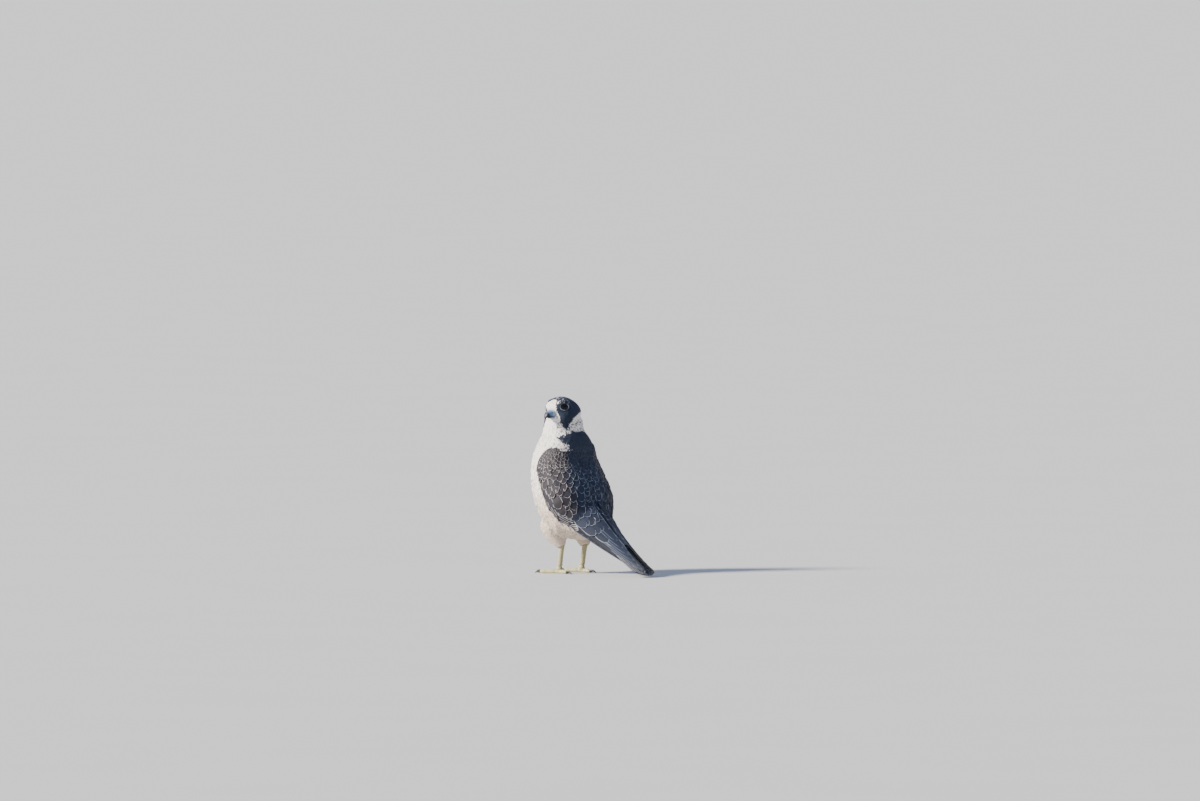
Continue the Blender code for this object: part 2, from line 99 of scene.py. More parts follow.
def curve(knots, shares):
    """Points of a smooth curve through the knots at shares from 0 to 1 of their count."""
    knots = np.asarray(knots, float)
    last = len(knots) - 1
    place = np.clip(np.asarray(shares, float), 0, 1) * last
    i = np.minimum(place.astype(int), last - 1)
    u = (place - i)[..., None]
    a, b, c, d = (knots[np.clip(i + k, 0, last)] for k in (-1, 0, 1, 2))
    return b + 0.5 * u * (c - a + u * (2 * a - 5 * b + 4 * c - d + u * (3 * (b - c) + d - a)))


def spread(low, high, count):
    return np.linspace(low, high, count)


def round_turn(count):
    """Evenly spaced angles, once round."""
    return spread(0, math.tau, count + 1)[:-1]


def stacked(*parts):
    """Numbers and arrays brought to one shape and set side by side along a last axis."""
    return np.stack(np.broadcast_arrays(*parts), -1)


def for_each(count, *parts):
    """The parts side by side for each of a count of things; a part is one number, or one for each thing."""
    return stacked(np.zeros(count), *parts)[:, 1:]


# ---- the head's axes, read from the eyes ----
def middle_of(node):
    low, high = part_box(node)
    return (np.array(low) + np.array(high)) / 2 / MM


EYES = {word: middle_of(f"eye_{word}") for word, side in SIDES}
left_axis = unit(EYES["left"] - EYES["right"])
level_axis = np.cross(left_axis, (0.0, 0.0, 1.0))
nod = math.radians(HEAD_PITCH)
forward_axis = unit(math.cos(nod) * level_axis - math.sin(nod) * np.array((0.0, 0.0, 1.0)))
HEAD_AXES = np.array((forward_axis, left_axis, np.cross(forward_axis, left_axis)))
HEAD_CENTRE = (EYES["left"] + EYES["right"]) / 2 - np.array((EYE_FORWARD, 0, EYE_UP)) @ HEAD_AXES


def head_local(places):
    return (np.asarray(places, float) - HEAD_CENTRE) @ HEAD_AXES.T


def from_head(local):
    return np.asarray(local, float) @ HEAD_AXES + HEAD_CENTRE


# ---- the body's axes ----
spine_points = curve(SPINE, spread(0, 1, SPINE_SAMPLES))
spine_steps = np.linalg.norm(np.diff(spine_points, axis=0), axis=1)
spine_run = np.concatenate([[0.0], np.cumsum(spine_steps)])
spine_ways = unit(np.gradient(spine_points, axis=0))


def spine_at(run):
    """Middle, way to the tail and way to the breast at a length along the spine."""
    run = np.atleast_1d(np.asarray(run, float))
    point = stacked(*(np.interp(run, spine_run, spine_points[:, k]) for k in (0, 1)))
    way = unit(stacked(*(np.interp(run, spine_run, spine_ways[:, k]) for k in (0, 1))))
    middle = stacked(0.0, point[:, 0], point[:, 1])
    tailward = stacked(0.0, way[:, 0], way[:, 1])
    ventral = stacked(0.0, way[:, 1], -way[:, 0])
    return middle, tailward, ventral


def body_local(places):
    """Length along the spine and angle round it: 0 left, 90 breast, -90 back."""
    places = np.asarray(places, float)
    run = np.empty(len(places))
    for start in range(0, len(places), PLACES_AT_ONCE):
        part = slice(start, start + PLACES_AT_ONCE)
        gaps = ((places[part, None, 1:] - spine_points[None]) ** 2).sum(-1)
        run[part] = spine_run[gaps.argmin(1)]
    middle, _, ventral = spine_at(run)
    off = places - middle
    return run, np.degrees(np.arctan2((off * ventral).sum(-1), off[:, 0]))


def azimuth_of(places):
    """Angle round the body, the same on both sides: 0 at the breast, 180 at the back."""
    return np.abs((90 - body_local(places)[1] + 180) % 360 - 180)


# ---- surfaces ----
class Surface:
    """A closed mesh that feathers are laid on, in millimetres."""

    def __init__(self, mesh):
        mesh.calc_loop_triangles()
        count = len(mesh.vertices)
        points, normals = np.empty(count * 3), np.empty(count * 3)
        mesh.vertices.foreach_get("co", points)
        mesh.vertices.foreach_get("normal", normals)
        corners = np.empty(len(mesh.loop_triangles) * 3, np.int32)
        mesh.loop_triangles.foreach_get("vertices", corners)
        self.points = points.reshape(-1, 3) / MM
        self.normals = normals.reshape(-1, 3)
        self.corners = corners.reshape(-1, 3)
        self.tree = BVHTree.FromPolygons(self.points.tolist(), self.corners.tolist())

    def smooth_normals(self, places, faces):
        corner = self.points[self.corners[faces]]
        a, b = corner[:, 1] - corner[:, 0], corner[:, 2] - corner[:, 0]
        off = places - corner[:, 0]
        aa, bb, ab = (a * a).sum(1), (b * b).sum(1), (a * b).sum(1)
        pa, pb = (off * a).sum(1), (off * b).sum(1)
        scale = np.maximum(aa * bb - ab * ab, 1e-12)
        v, w = (bb * pa - ab * pb) / scale, (aa * pb - ab * pa) / scale
        weights = np.clip(np.stack([1 - v - w, v, w], 1), 0, 1)
        return unit((self.normals[self.corners[faces]] * weights[:, :, None]).sum(1))

    def nearest(self, places):
        found = [self.tree.find_nearest(place) for place in places.tolist()]
        where = np.array([hit[0][:] for hit in found])
        faces = np.array([hit[2] for hit in found])
        return where, self.smooth_normals(where, faces)

    def hit(self, origins, ways):
        """Where rays first meet the surface, and whether they do."""
        found = [self.tree.ray_cast(origin, way) for origin, way in zip(origins.tolist(), ways.tolist())]
        met = np.array([hit[0] is not None for hit in found])
        where = np.array([hit[0][:] if hit[0] is not None else (0, 0, 0) for hit in found])
        faces = np.array([hit[2] if hit[2] is not None else 0 for hit in found])
        return where, self.smooth_normals(where, faces), met


def welded(nodes, swell=0.0, filler=None):
    """CAD nodes as one mesh in metres, each a little swollen so that neighbours meet."""
    joined = bmesh.new()
    for node in nodes:
        joined.from_mesh(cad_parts[node].data)
    if filler is not None:
        joined.from_mesh(filler)
    bmesh.ops.remove_doubles(joined, verts=joined.verts, dist=1e-6)
    joined.normal_update()
    for vert in joined.verts:
        vert.co += vert.normal * swell * MM
    mesh = bpy.data.meshes.new("joined")
    joined.to_mesh(mesh)
    joined.free()
    return mesh


def numbered(rows, columns):
    return np.arange(rows * columns).reshape(rows, columns)


def grid_faces(index, closed=False):
    """Quads between neighbours in a grid of indices, whose columns may close round on themselves."""
    if closed:
        index = np.concatenate([index, index[:, :1]], 1)
    return np.stack([index[:-1, :-1], index[:-1, 1:], index[1:, 1:], index[1:, :-1]], -1).reshape(-1, 4)


def tube(rings):
    """Points and triangles of a closed tube through rings, with a point at the middle of each end."""
    count, sides = rings.shape[:2]
    points = np.concatenate([rings.reshape(-1, 3), rings[:1].mean(1), rings[-1:].mean(1)])
    around = np.arange(sides)
    after = (around + 1) % sides
    last_ring = (count - 1) * sides
    quads = grid_faces(numbered(count, sides), closed=True)
    start = stacked(count * sides, after, around)
    end = stacked(count * sides + 1, last_ring + around, last_ring + after)
    return points, np.concatenate([quads[:, [0, 1, 2]], quads[:, [0, 2, 3]], start, end])


# The middle of the back between the folded wings' ends: y, side and height of the inner edges
SADDLE = (
    (-30, 15, 136), (-11, 10, 134), (5, 8, 120), (16, 7, 110), (30, 6.5, 97), (44, 6.5, 85), (54, 5, 76),
    (68, 4.5, 64), (84, 4.5, 50), (98, 4, 38),
)
SADDLE_ROWS, SADDLE_SIDES = 36, 16
SADDLE_RISE, SADDLE_DEPTH = 1.5, 7.0  # half heights of the wedge above and below its middle


def saddle():
    """A long wedge that closes the slot between the folded wings, so that long feathers bridge it."""
    turn = round_turn(SADDLE_SIDES)
    high = np.where(np.sin(turn) > 0, SADDLE_RISE, SADDLE_DEPTH) * np.sin(turn)
    rows = curve(SADDLE, spread(0, 1, SADDLE_ROWS))
    rings = [stacked(side * np.cos(turn), y, z - SADDLE_RISE + high) for y, side, z in rows]
    points, faces = tube(np.stack(rings))
    mesh = bpy.data.meshes.new("saddle")
    mesh.from_pydata((points * MM).tolist(), [], faces.tolist())
    return mesh


def saddle_height(places):
    rows = np.array(SADDLE, float)
    return np.interp(places[:, 1], rows[:, 0], rows[:, 2])


def remeshed(nodes, voxel, swell, smoothing, filler=None):
    """One smooth closed skin round several CAD nodes."""
    source = bpy.data.objects.new("source", welded(nodes, swell, filler))
    bpy.context.scene.collection.objects.link(source)
    remesh = source.modifiers.new("remesh", "REMESH")
    remesh.mode = "VOXEL"
    remesh.voxel_size = voxel * MM
    smooth = source.modifiers.new("smooth", "SMOOTH")
    smooth.factor = 0.5
    smooth.iterations = smoothing
    graph = bpy.context.evaluated_depsgraph_get()
    mesh = bpy.data.meshes.new_from_object(source.evaluated_get(graph))
    bpy.data.objects.remove(source)
    return mesh


FLESH = ["head", "neck", "trunk", "thigh_left", "thigh_right", "wing_left", "wing_right"]
PLATES = ["primaries_left", "primaries_right", "tail"]
EYEBALLS = ["eye_left", "eye_right"]
NEIGHBOURS = ["shank_left", "shank_right", "cere", "bill_lower"]
SWELL = 0.4  # how far nodes are swollen so that they join
GUIDE_VOXEL, GUIDE_SMOOTHING = 1.7, 4  # millimetres and passes, as for the other remeshed skins
guide = Surface(remeshed(FLESH + PLATES + EYEBALLS, GUIDE_VOXEL, SWELL, GUIDE_SMOOTHING, saddle()))
tail_surface = Surface(welded(["tail"]))
trees = {node: Surface(welded([node])) for node in FLESH + PLATES + NEIGHBOURS}


def gap_to(node, places):
    """Distance from places to a CAD node."""
    return np.array([trees[node].tree.find_nearest(place)[3] for place in np.asarray(places).tolist()])


def gap_to_wings(places):
    return np.minimum(gap_to("wing_left", places), gap_to("wing_right", places))


# ---- markings ----
# A turn is in degrees round the head from the bill, a height on the head is above its centre, and an azimuth
# is in degrees round the body from the breast
PER_TURN, PER_AZIMUTH = 0.47, 0.75  # millimetres for a degree of each
NAPE_TURN = 146  # the head is dark behind this turn
THROAT_TOP, THROAT_FOOT = -32, -38  # heights on the head between which the neck's markings take over
# Turn where the pale face and throat end, by height
FACE_EDGE = ((-42, -31, -27, -14, -2, 2, 10, 20, 24, 27), (62, 56, 44, 34, 30, 24, 22, 17, 13, -9))
# Turn where the pale cheek starts behind the moustache, by height, and the height of its top, by turn
CHEEK_START = ((-36, -30, -27, -21, -10, -5), (48, 56, 68, 76, 86, 98))
CHEEK_TOP = ((70, 80, 92, 115, 135), (-12, -10, -8, -3, -1))
# Height in the frame of the dark mantle's top, by azimuth, and the azimuth of its side, by height
MANTLE_TOP = ((120, 144, 160, 180), (259, 266, 270, 272))
MANTLE_SIDE = ((226, 231, 237, 246, 254, 260, 265), (110, 138, 148, 142, 131, 124, 136))
# Azimuth of the nape's dark on the right side of the neck, by height in the frame, and its half width
NAPE_WINDING = ((226, 264), (160, 104))
NAPE_HALF_WIDTH = 38


def head_blend(places):
    """1 on the head, 0 on the body."""
    return step(NECK_FOOT, NECK_TOP, np.asarray(places)[:, 2])


def head_turn(local):
    """Turn of places given in the head's axes, drawn together a little on the right side of the face."""
    forward, side, up = local.T
    turn = np.degrees(np.arctan2(np.abs(side), forward))
    crown = (side < 0) * step(6, 14, up) * step(120, 60, turn)
    return turn * (1 - 0.42 * crown) - 7 * (side < 0) * step(6, -4, up) * step(100, 60, turn)


def pale_on_head(turn, up, jitter):
    """How far places lie inside the pale face and throat, the cheek or the fleck on the brow."""
    face = (np.interp(up, *FACE_EDGE) - turn) * PER_TURN + jitter
    from_start = (turn - np.interp(up, *CHEEK_START)) * PER_TURN
    from_top = np.interp(turn, *CHEEK_TOP) - up
    cheek = np.minimum(np.minimum(from_start, from_top), (NAPE_TURN - turn) * PER_TURN) + jitter
    brow = 3.0 - np.hypot((turn - 27) * 0.5, up - 20.5) * 1.5
    return np.maximum(np.maximum(face, cheek), brow)


def dark_on_neck(places, turn, jitter):
    """How far places lie inside the dark of the mantle or of the nape."""
    azimuth, height = azimuth_of(places), places[:, 2]
    on_right = places[:, 0] < 0
    edge = np.interp(height, *MANTLE_SIDE) - 24 * on_right * step(262, 252, height) * step(205, 228, height)
    mantle = np.minimum(np.interp(azimuth, *MANTLE_TOP) - height, (azimuth - edge) * PER_AZIMUTH) + jitter
    nape = (turn - NAPE_TURN) * PER_TURN + jitter
    # the head is turned, so the dark of its nape winds down the right side of the neck to the mantle
    from_right = np.where(on_right, azimuth, 360 - azimuth)
    winding = NAPE_HALF_WIDTH - np.abs(from_right - np.interp(height, *NAPE_WINDING))
    return np.maximum(mantle, np.where(height > NECK_FOOT, nape, winding * PER_AZIMUTH + jitter))


def markings(places, jitter):
    """How dark the plumage is at places, from 0 to 1, with edges made ragged by a jitter in millimetres."""
    local = head_local(places)
    turn = head_turn(local)
    up = local[:, 2] + jitter * 0.5
    below = step(THROAT_TOP, THROAT_FOOT, up)
    pale = pale_on_head(turn, up, jitter) * (1 - below) - dark_on_neck(places, turn, jitter) * below
    x, y, z = places.T
    in_saddle = (np.abs(x) < 18) & (y > -30) & (z > saddle_height(places) - 12)
    return np.where(in_saddle, 1.0, step(1.0, -1.0, pale))


# ---- the body's own map ----
# Along the spine from the neck to the rump: forward, up, half width, breast depth, back depth
BODY_SECTIONS = (
    (13.0, 304.0, 25.0, 25.0, 25.0),
    (14.0, 294.0, 33.0, 33.5, 32.5),
    (13.0, 281.0, 35.5, 36.0, 34.5),
    (12.5, 269.0, 38.0, 37.0, 35.0),
    (11.5, 256.0, 45.5, 43.5, 42.5),
    (10.5, 237.0, 56.0, 51.0, 48.5),
    (9.5, 213.0, 63.5, 58.5, 49.0),
    (3.5, 186.0, 70.5, 63.5, 52.5),
    (-6.5, 160.0, 75.5, 63.5, 56.0),
    (-18.0, 135.0, 77.0, 63.5, 57.0),
    (-36.0, 112.0, 74.0, 54.0, 50.0),
    (-59.0, 96.0, 58.0, 37.0, 37.0),
    (-82.0, 84.0, 31.0, 19.0, 20.0),
)
FORWARD_ZERO = -82.8  # the frame's y where the body's forward is 0

# Folded wing: share of the body's length, angle of the front edge, angle of the back edge
WING_SECTIONS = (
    (0.386, -31.0, -35.0),
    (0.402, -18.0, -45.0),
    (0.430, -7.0, -59.0),
    (0.480, 3.0, -67.0),
    (0.540, 6.0, -73.0),
    (0.610, 0.0, -78.0),
    (0.690, -3.0, -82.0),
    (0.790, -3.5, -84.0),
    (0.900, 2.0, -85.0),
    (1.000, 0.0, -85.0),
)
WING_SAMPLES = 60
MAP_REACH = 45.0  # how far outside the body the map's rays start
MAP_SHARES = (0.24, 1.06, 110)
MAP_ANGLES = (-190.0, 190.0, 229)
PAST_END = 250.0  # millimetres for a whole share beyond the body's last section


def body_rays(shares, angles):
    """Starts and ways of rays that come in to the body at shares of its length and angles round it."""
    row = curve(BODY_SECTIONS, shares)
    ahead, behind = curve(BODY_SECTIONS, shares - 0.01), curve(BODY_SECTIONS, shares + 0.01)
    along = unit((ahead - behind)[..., :2])
    ventral = stacked(along[..., 1], -along[..., 0])
    side, front = np.cos(np.radians(angles)), np.sin(np.radians(angles))
    depth = np.where(front > 0, row[..., 3], row[..., 4])
    past = np.maximum(shares - 1, 0) * PAST_END

    def place(scale, more):
        reach = front * (depth * scale + more)
        forward = row[..., 0] + ventral[..., 0] * reach - along[..., 0] * past
        up = row[..., 1] + ventral[..., 1] * reach - along[..., 1] * past
        return stacked(side * (row[..., 2] * scale + more), FORWARD_ZERO - forward, up)

    outer, inner = place(1.0, MAP_REACH), place(0.0, 0.0)
    return outer, unit(inner - outer)


def make_body_map():
    """Places on the guide for a grid of shares and angles."""
    shares, angles = np.meshgrid(spread(*MAP_SHARES), spread(*MAP_ANGLES), indexing="ij")
    origins, ways = (rays.reshape(-1, 3) for rays in body_rays(shares, angles))
    where, _, met = guide.hit(origins, ways)
    if not met.all():
        where[~met] = guide.nearest(origins[~met] + ways[~met] * MAP_REACH)[0]
    return where.reshape(*shares.shape, 3)


body_map = make_body_map()


def on_body(shares, angles):
    """Places on the body at shares of its length and angles round it."""
    low, high, rows = MAP_SHARES
    first, last, columns = MAP_ANGLES
    i = np.clip((np.asarray(shares, float) - low) / (high - low) * (rows - 1), 0, rows - 1.001)
    j = np.clip((np.asarray(angles, float) - first) / (last - first) * (columns - 1), 0, columns - 1.001)
    i, j = np.broadcast_arrays(i, j)
    a, b = i.astype(int), j.astype(int)
    u, v = (i - a)[..., None], (j - b)[..., None]
    near = body_map[a, b] * (1 - v) + body_map[a, b + 1] * v
    far = body_map[a + 1, b] * (1 - v) + body_map[a + 1, b + 1] * v
    return near * (1 - u) + far * u


def wing_edges(shares):
    """Angles of a folded wing's front and back edge at shares of the body's length."""
    knots = curve(WING_SECTIONS, spread(0, 1, WING_SAMPLES))
    return np.interp(shares, knots[:, 0], knots[:, 1]), np.interp(shares, knots[:, 0], knots[:, 2])


def on_side(angles, side):
    """Angles of the left wing, or the same angles mirrored for the right wing."""
    return angles if side > 0 else np.where(180 - angles > 190, -180 - angles, 180 - angles)


def on_wing(shares, across, side):
    """Places on a folded wing: share of the body's length, and 0 at its front edge to 1 at its back edge."""
    front, back = wing_edges(shares)
    return on_body(shares, on_side(front + (back - front) * across, side))


# ---- lie of the feathers ----
EYE_SIDE = 25.0  # how far to the side of the head's middle the eyes part the feathers
EYE_PUSH, EYE_REACH = 14.0, 9.0  # how strongly and how far they do so
HEAD_LEAN = (-0.25, 0.0, -0.12)  # the head's feathers lean back and down
LEG_WAY = (0.0, 0.12, -1.0)


def flow(places, normals):
    """The way that feathers point at places: away from the bill on the head, to the tail on the body."""
    local = head_local(places)
    radial = local - np.array(BILL_BASE)
    for sign in (1, -1):
        off = local - np.array((EYE_FORWARD, sign * EYE_SIDE, EYE_UP))
        off[:, 1] *= 0.3
        gap = np.linalg.norm(off, axis=1, keepdims=True)
        radial += off / np.maximum(gap, 1) * EYE_PUSH * np.exp(-(gap / EYE_REACH) ** 2) * (gap > 3)
    head_way = unit(unit(radial) + np.array(HEAD_LEAN)) @ HEAD_AXES
    tailward = spine_at(body_local(places)[0])[1]
    low = (places[:, 2] < 112) & (places[:, 1] < 5) & (np.abs(places[:, 0]) > 8)
    on_thigh = (step(112, 92, places[:, 2]) * step(2, -14, places[:, 1]) * low)[:, None]
    body_way = tailward * (1 - on_thigh) + np.array(LEG_WAY) * on_thigh
    blend = head_blend(places)[:, None]
    return along_surface(head_way * blend + body_way * (1 - blend), normals)


# ---- feathers ----
MOST_TRIANGLES = 180000  # in one piece of the coat
LEAST_PATCH, PATCH_SCALE = 0.003, 0.0016  # a feather's patch on the OFBake map: least size, and by half width
FRINGE_AT_TIP = 0.35  # the fringe is this much narrower at the tip


class Coat:
    """Feathers of one group, gathered as one mesh: each a closed vane with a top, a bottom and a thin rim."""

    def __init__(self, rows, columns):
        self.rows, self.columns = rows, columns
        self.points, self.vane, self.pigment, self.mark, self.uv = [], [], [], [], []
        self.count = 0
        top = numbered(rows, columns)
        bottom = top.copy()
        bottom[1:-1, 1:-1] = rows * columns + numbered(rows - 2, columns - 2)
        self.inner = (slice(None), slice(1, -1), slice(1, -1))
        self.faces = np.concatenate([grid_faces(top), grid_faces(bottom)[:, ::-1]])
        self.size = rows * columns + (rows - 2) * (columns - 2)
        self.rim = np.ones(self.size, bool)
        self.rim[top[1:-1, 1:-1]] = False
        self.rim[bottom[1:-1, 1:-1]] = False

    def both(self, top, bottom=None):
        """Values on the top grid, followed by those of the bottom's inner points."""
        inner = (top if bottom is None else bottom)[self.inner]
        return np.concatenate([part.reshape(len(top), -1, top.shape[-1]) for part in (top, inner)], 1)

    def add(self, base, normal, rise, thick, vane, look, uv):
        """Vanes on base points (feather, row, column, xyz), raised along the normals."""
        across, along = vane[..., 0], vane[..., 1]
        lens = (1 - across ** 2) * np.sin(np.pi * np.clip(along, 0, 1) ** 0.7) ** 0.5
        half = (thick * lens)[..., None] / 2
        top = base + normal * (rise[..., None] + half)
        bottom = base + normal * (rise[..., None] - half)
        self.points.append(self.both(top, bottom))
        self.vane.append(self.both(vane))
        self.pigment.append(np.repeat(look["pigment"][:, None], self.size, 1))
        self.mark.append(np.repeat(look["mark"][:, None], self.size, 1))
        self.uv.append(self.both(uv))
        self.count += len(base)

    def make(self, name, material):
        """The group's objects, each under the most triangles that a piece may have."""
        parts = (self.points, self.vane, self.pigment, self.mark, self.uv)
        gathered = [np.concatenate(part) for part in parts]
        pieces = math.ceil(self.count * len(self.faces) * 2 / MOST_TRIANGLES)
        cuts = np.linspace(0, self.count, pieces + 1).astype(int)
        made = []
        for i, (low, high) in enumerate(zip(cuts, cuts[1:])):
            own = [part[low:high].reshape(-1, part.shape[-1]) for part in gathered]
            faces = (np.arange(high - low)[:, None, None] * self.size + self.faces[None]).reshape(-1, 4)
            label = name if pieces == 1 else f"{name}_{i + 1}"
            marks = dict(vane=own[1], pigment=own[2], mark=own[3])
            piece = make_object(label, own[0], faces, material, marks, own[4])
            sharpen(piece.data, np.tile(self.rim, high - low))
            made.append(piece)
        return made


def sharpen(mesh, rim):
    """Edges between rim points made sharp, so that a thin vane's faces are shaded flat up to its edge."""
    ends = np.empty(len(mesh.edges) * 2, np.int32)
    mesh.edges.foreach_get("vertices", ends)
    sharp = rim[ends.reshape(-1, 2)].all(1)
    mesh.attributes.new("sharp_edge", "BOOLEAN", "EDGE").data.foreach_set("value", sharp)


def make_object(name, points, faces, material, attributes=None, uv=None):
    """A mesh object from points in millimetres; uv has a place for each point, or for each face corner."""
    mesh = bpy.data.meshes.new(name)
    faces = np.asarray(faces)
    sides = faces.shape[1]
    mesh.vertices.add(len(points))
    mesh.vertices.foreach_set("co", (np.asarray(points) * MM).astype(np.float32).ravel())
    mesh.loops.add(faces.size)
    mesh.loops.foreach_set("vertex_index", faces.astype(np.int32).ravel())
    mesh.polygons.add(len(faces))
    mesh.polygons.foreach_set("loop_start", (np.arange(len(faces)) * sides).astype(np.int32))
    mesh.polygons.foreach_set("use_smooth", np.ones(len(faces), bool))
    mesh.update(calc_edges=True)
    for label, values in (attributes or {}).items():
        layer = mesh.attributes.new(label, "FLOAT_VECTOR", "POINT")
        layer.data.foreach_set("vector", np.asarray(values, np.float32).ravel())
    if uv is not None:
        layer = mesh.uv_layers.new(name="OFBake")
        corner = uv[faces.ravel()] if len(uv) == len(points) else uv
        layer.data.foreach_set("uv", np.asarray(corner, np.float32).ravel())
    mesh.materials.append(material)
    made = bpy.data.objects.new(name, mesh)
    bpy.context.scene.collection.objects.link(made)
    return made


def chart(places):
    """The unwrap of the skin's own shape: the body in a wide strip, the head in a narrow one."""
    local = head_local(places)
    turn = np.degrees(np.arctan2(local[:, 1], local[:, 0]))
    run, angle = body_local(places)
    body = stacked(0.02 + 0.60 * ((angle + 270) % 360) / 360, 0.98 - 0.96 * np.clip(run / 330, 0, 1))
    head = stacked(0.66 + 0.32 * ((turn + 360) % 360) / 360, 0.02 + 0.96 * (local[:, 2] + 45) / 80)
    return np.where((places[:, 2] > 272)[:, None], head, body)


def feather_look(count, pigment, mark, **sizes):
    """Sizes of feathers, their pigment (dark, warm, fringe) and mark (streak, random, buff)."""
    look = {name: np.broadcast_to(np.asarray(value, float), count) for name, value in sizes.items()}
    return dict(look, pigment=for_each(count, *pigment), mark=for_each(count, *mark))


def blank_shape(rows, columns, roundness):
    """A vane's plan: shares along it and across it, its half width at each row, and its tip's roundness."""
    along = spread(0, 1, rows) ** 0.8
    across = spread(-1, 1, columns)
    width = np.interp(along, (0, 0.25, 0.6, 0.85, 1.0), (0.42, 0.74, 1.0, 1.0, 0.80))
    back = roundness * along[:, None] ** 4 * across[None] ** 2
    return along, across, width, back


def march(roots, ways, length, along, flow_follow):
    """Middle lines of feathers that run over the guide from their roots: places, ways and normals."""
    here, up = guide.nearest(roots)
    way = along_surface(ways, up)
    lines = [(here, way, up)]
    for part in np.diff(along):
        here, up = guide.nearest(here + way * (length * part)[:, None])
        way = along_surface(way, up)
        if flow_follow:
            way = unit(way * (1 - flow_follow) + flow(here, up) * flow_follow)
        lines.append((here, way, up))
    return [np.stack(part, 1) for part in zip(*lines)]


def lay(coat, roots, ways, look, roundness=0.9, flow_follow=0.6, lift=0.0, roll=None, web=0):
    """Lays feathers with a look on the guide, from their roots.

    A web of 1 or -1 leaves the pale fringe on one side of each feather and round its tip.
    """
    length, half_width, thick = look["length"], look["half_width"], look["thick"]
    along, across, width, back = blank_shape(coat.rows, coat.columns, roundness)
    spine, lines, ups = march(roots, ways, length, along, flow_follow)
    grid = (len(roots), coat.rows, coat.columns)
    jag = rng.normal(0, 0.02, grid) * (along[None, :, None] > 0.9) * (np.abs(across) < 0.95)
    offset = across[None, None, :, None] * (half_width[:, None] * width[None])[:, :, None, None]
    pull = (back[None] + jag) * half_width[:, None, None]
    flat = spine[:, :, None] + np.cross(ups, lines)[:, :, None] * offset - lines[:, :, None] * pull[..., None]
    base, normal = (part.reshape(*grid, 3) for part in guide.nearest(avoid_eyes(flat.reshape(-1, 3))))
    roll = rng.normal(0, 0.06, len(roots)) if roll is None else roll
    rise = -look["depth"][:, None, None] * (1 - along[None, :, None]) ** 1.1 + lift
    rise = rise + (roll * half_width)[:, None, None] * across[None, None]
    inwards = 1 + web * across if web else 1 - np.abs(across)
    side_gap = inwards[None, None] * (half_width[:, None] * width[None])[..., None]
    tip_gap = ((1 - along)[None] * length[:, None])[..., None] + 0 * across[None, None]
    edge = look["edge"][:, None, None]
    vane = stacked(across, along[None, :, None], np.minimum(side_gap, tip_gap + FRINGE_AT_TIP * edge) / edge)
    patch = np.maximum(LEAST_PATCH, PATCH_SCALE * half_width)[:, None, None]
    uv = chart(spine[:, 0])[:, None, None] + stacked(across * patch / 2, (0.5 - along)[None, :, None] * patch)
    coat.add(base, normal, rise, thick[:, None, None], vane, look, np.clip(uv, 0.001, 0.999))


# ---- eyes' frames ----
EYE_RADIUS = 9.6
RING_WIDE, RING_HIGH, RING_LOW = 10.0, 6.9, 7.7  # half sizes of the bare ring round an eye


def eye_frame(word, sign):
    """Middle of an eye, the way it looks, and the ring's long and high ways."""
    turn = round_turn(24)
    outside = stacked(EYE_FORWARD + 9.0 * np.cos(turn), sign * 45.0, EYE_UP + 9.0 * np.sin(turn))
    inward = np.broadcast_to(-sign * HEAD_AXES[1], outside.shape)
    axis = unit(guide.hit(from_head(outside), inward)[1].mean(0))
    along = unit(HEAD_AXES[0] - axis * (HEAD_AXES[0] @ axis))
    high = np.cross(axis, along) * (1 if np.cross(axis, along)[2] > 0 else -1)
    return EYES[word], axis, along, high


EYE_FRAMES = {word: eye_frame(word, sign) for word, sign in SIDES}


def ring_share(wide, tall):
    """How far out places are from the middle of an eye's ring, 1 at the ring's edge."""
    return np.hypot(wide / RING_WIDE, tall / np.where(tall > 0, RING_HIGH, RING_LOW))


def avoid_eyes(places):
    """Places moved out of the bare rings round the eyes."""
    places = places.copy()
    for centre, axis, along, high in EYE_FRAMES.values():
        off = places - centre
        wide, tall = off @ along, off @ high
        share = ring_share(wide, tall)
        inside = (share < 1) & (off @ axis > 0) & (share > 1e-6)
        more = np.where(inside, 1 / np.maximum(share, 0.2) - 1, 0)[:, None]
        places += (wide[:, None] * along + tall[:, None] * high) * more
    return places


def near_eye(places):
    """Which places lie on the bare rings."""
    found = np.zeros(len(places), bool)
    for centre, axis, along, high in EYE_FRAMES.values():
        off = places - centre
        found |= (ring_share(off @ along, off @ high) < 1) & (off @ axis > 0)
    return found


# The soft corner of the mouth, from the cere back under the lores, in the head's axes
GAPE = ((34.0, 7.2, -5.1), (30.0, 9.6, -5.4), (26.0, 12.4, -5.9), (22.5, 15.2, -6.6))


# ---- contour feathers ----
# Distance between neighbouring feathers, by the distance from the bill, and by the height on the body
HEAD_SPACING = ((0, 9, 25, 45, 70), (0.80, 0.90, 1.15, 1.50, 2.1))
BODY_SPACING = ((40, 58, 100, 150, 205, 230, 262), (1.5, 1.8, 2.6, 2.9, 2.7, 2.1, 1.7))
ROOTS_TRIED = 6.0  # places tried for each one that the spacing leaves, about
BARE_ROOM = (("cere", 0.9), ("bill_lower", 0.15), ("shank_left", 1.0), ("shank_right", 1.0))
GAPE_ROOM = 1.3
# The saddle has larger feathers only: behind this y, so far to either side, and so far below its top
SADDLE_FROM, SADDLE_ASIDE, SADDLE_BELOW = 2, 11, 8


def spacing_at(places):
    """Distance between neighbouring feathers: small on the face, large on the belly."""
    reach = np.linalg.norm(head_local(places) - np.array(BILL_BASE), axis=1)
    blend = head_blend(places)
    return np.interp(reach, *HEAD_SPACING) * blend + np.interp(places[:, 2], *BODY_SPACING) * (1 - blend)


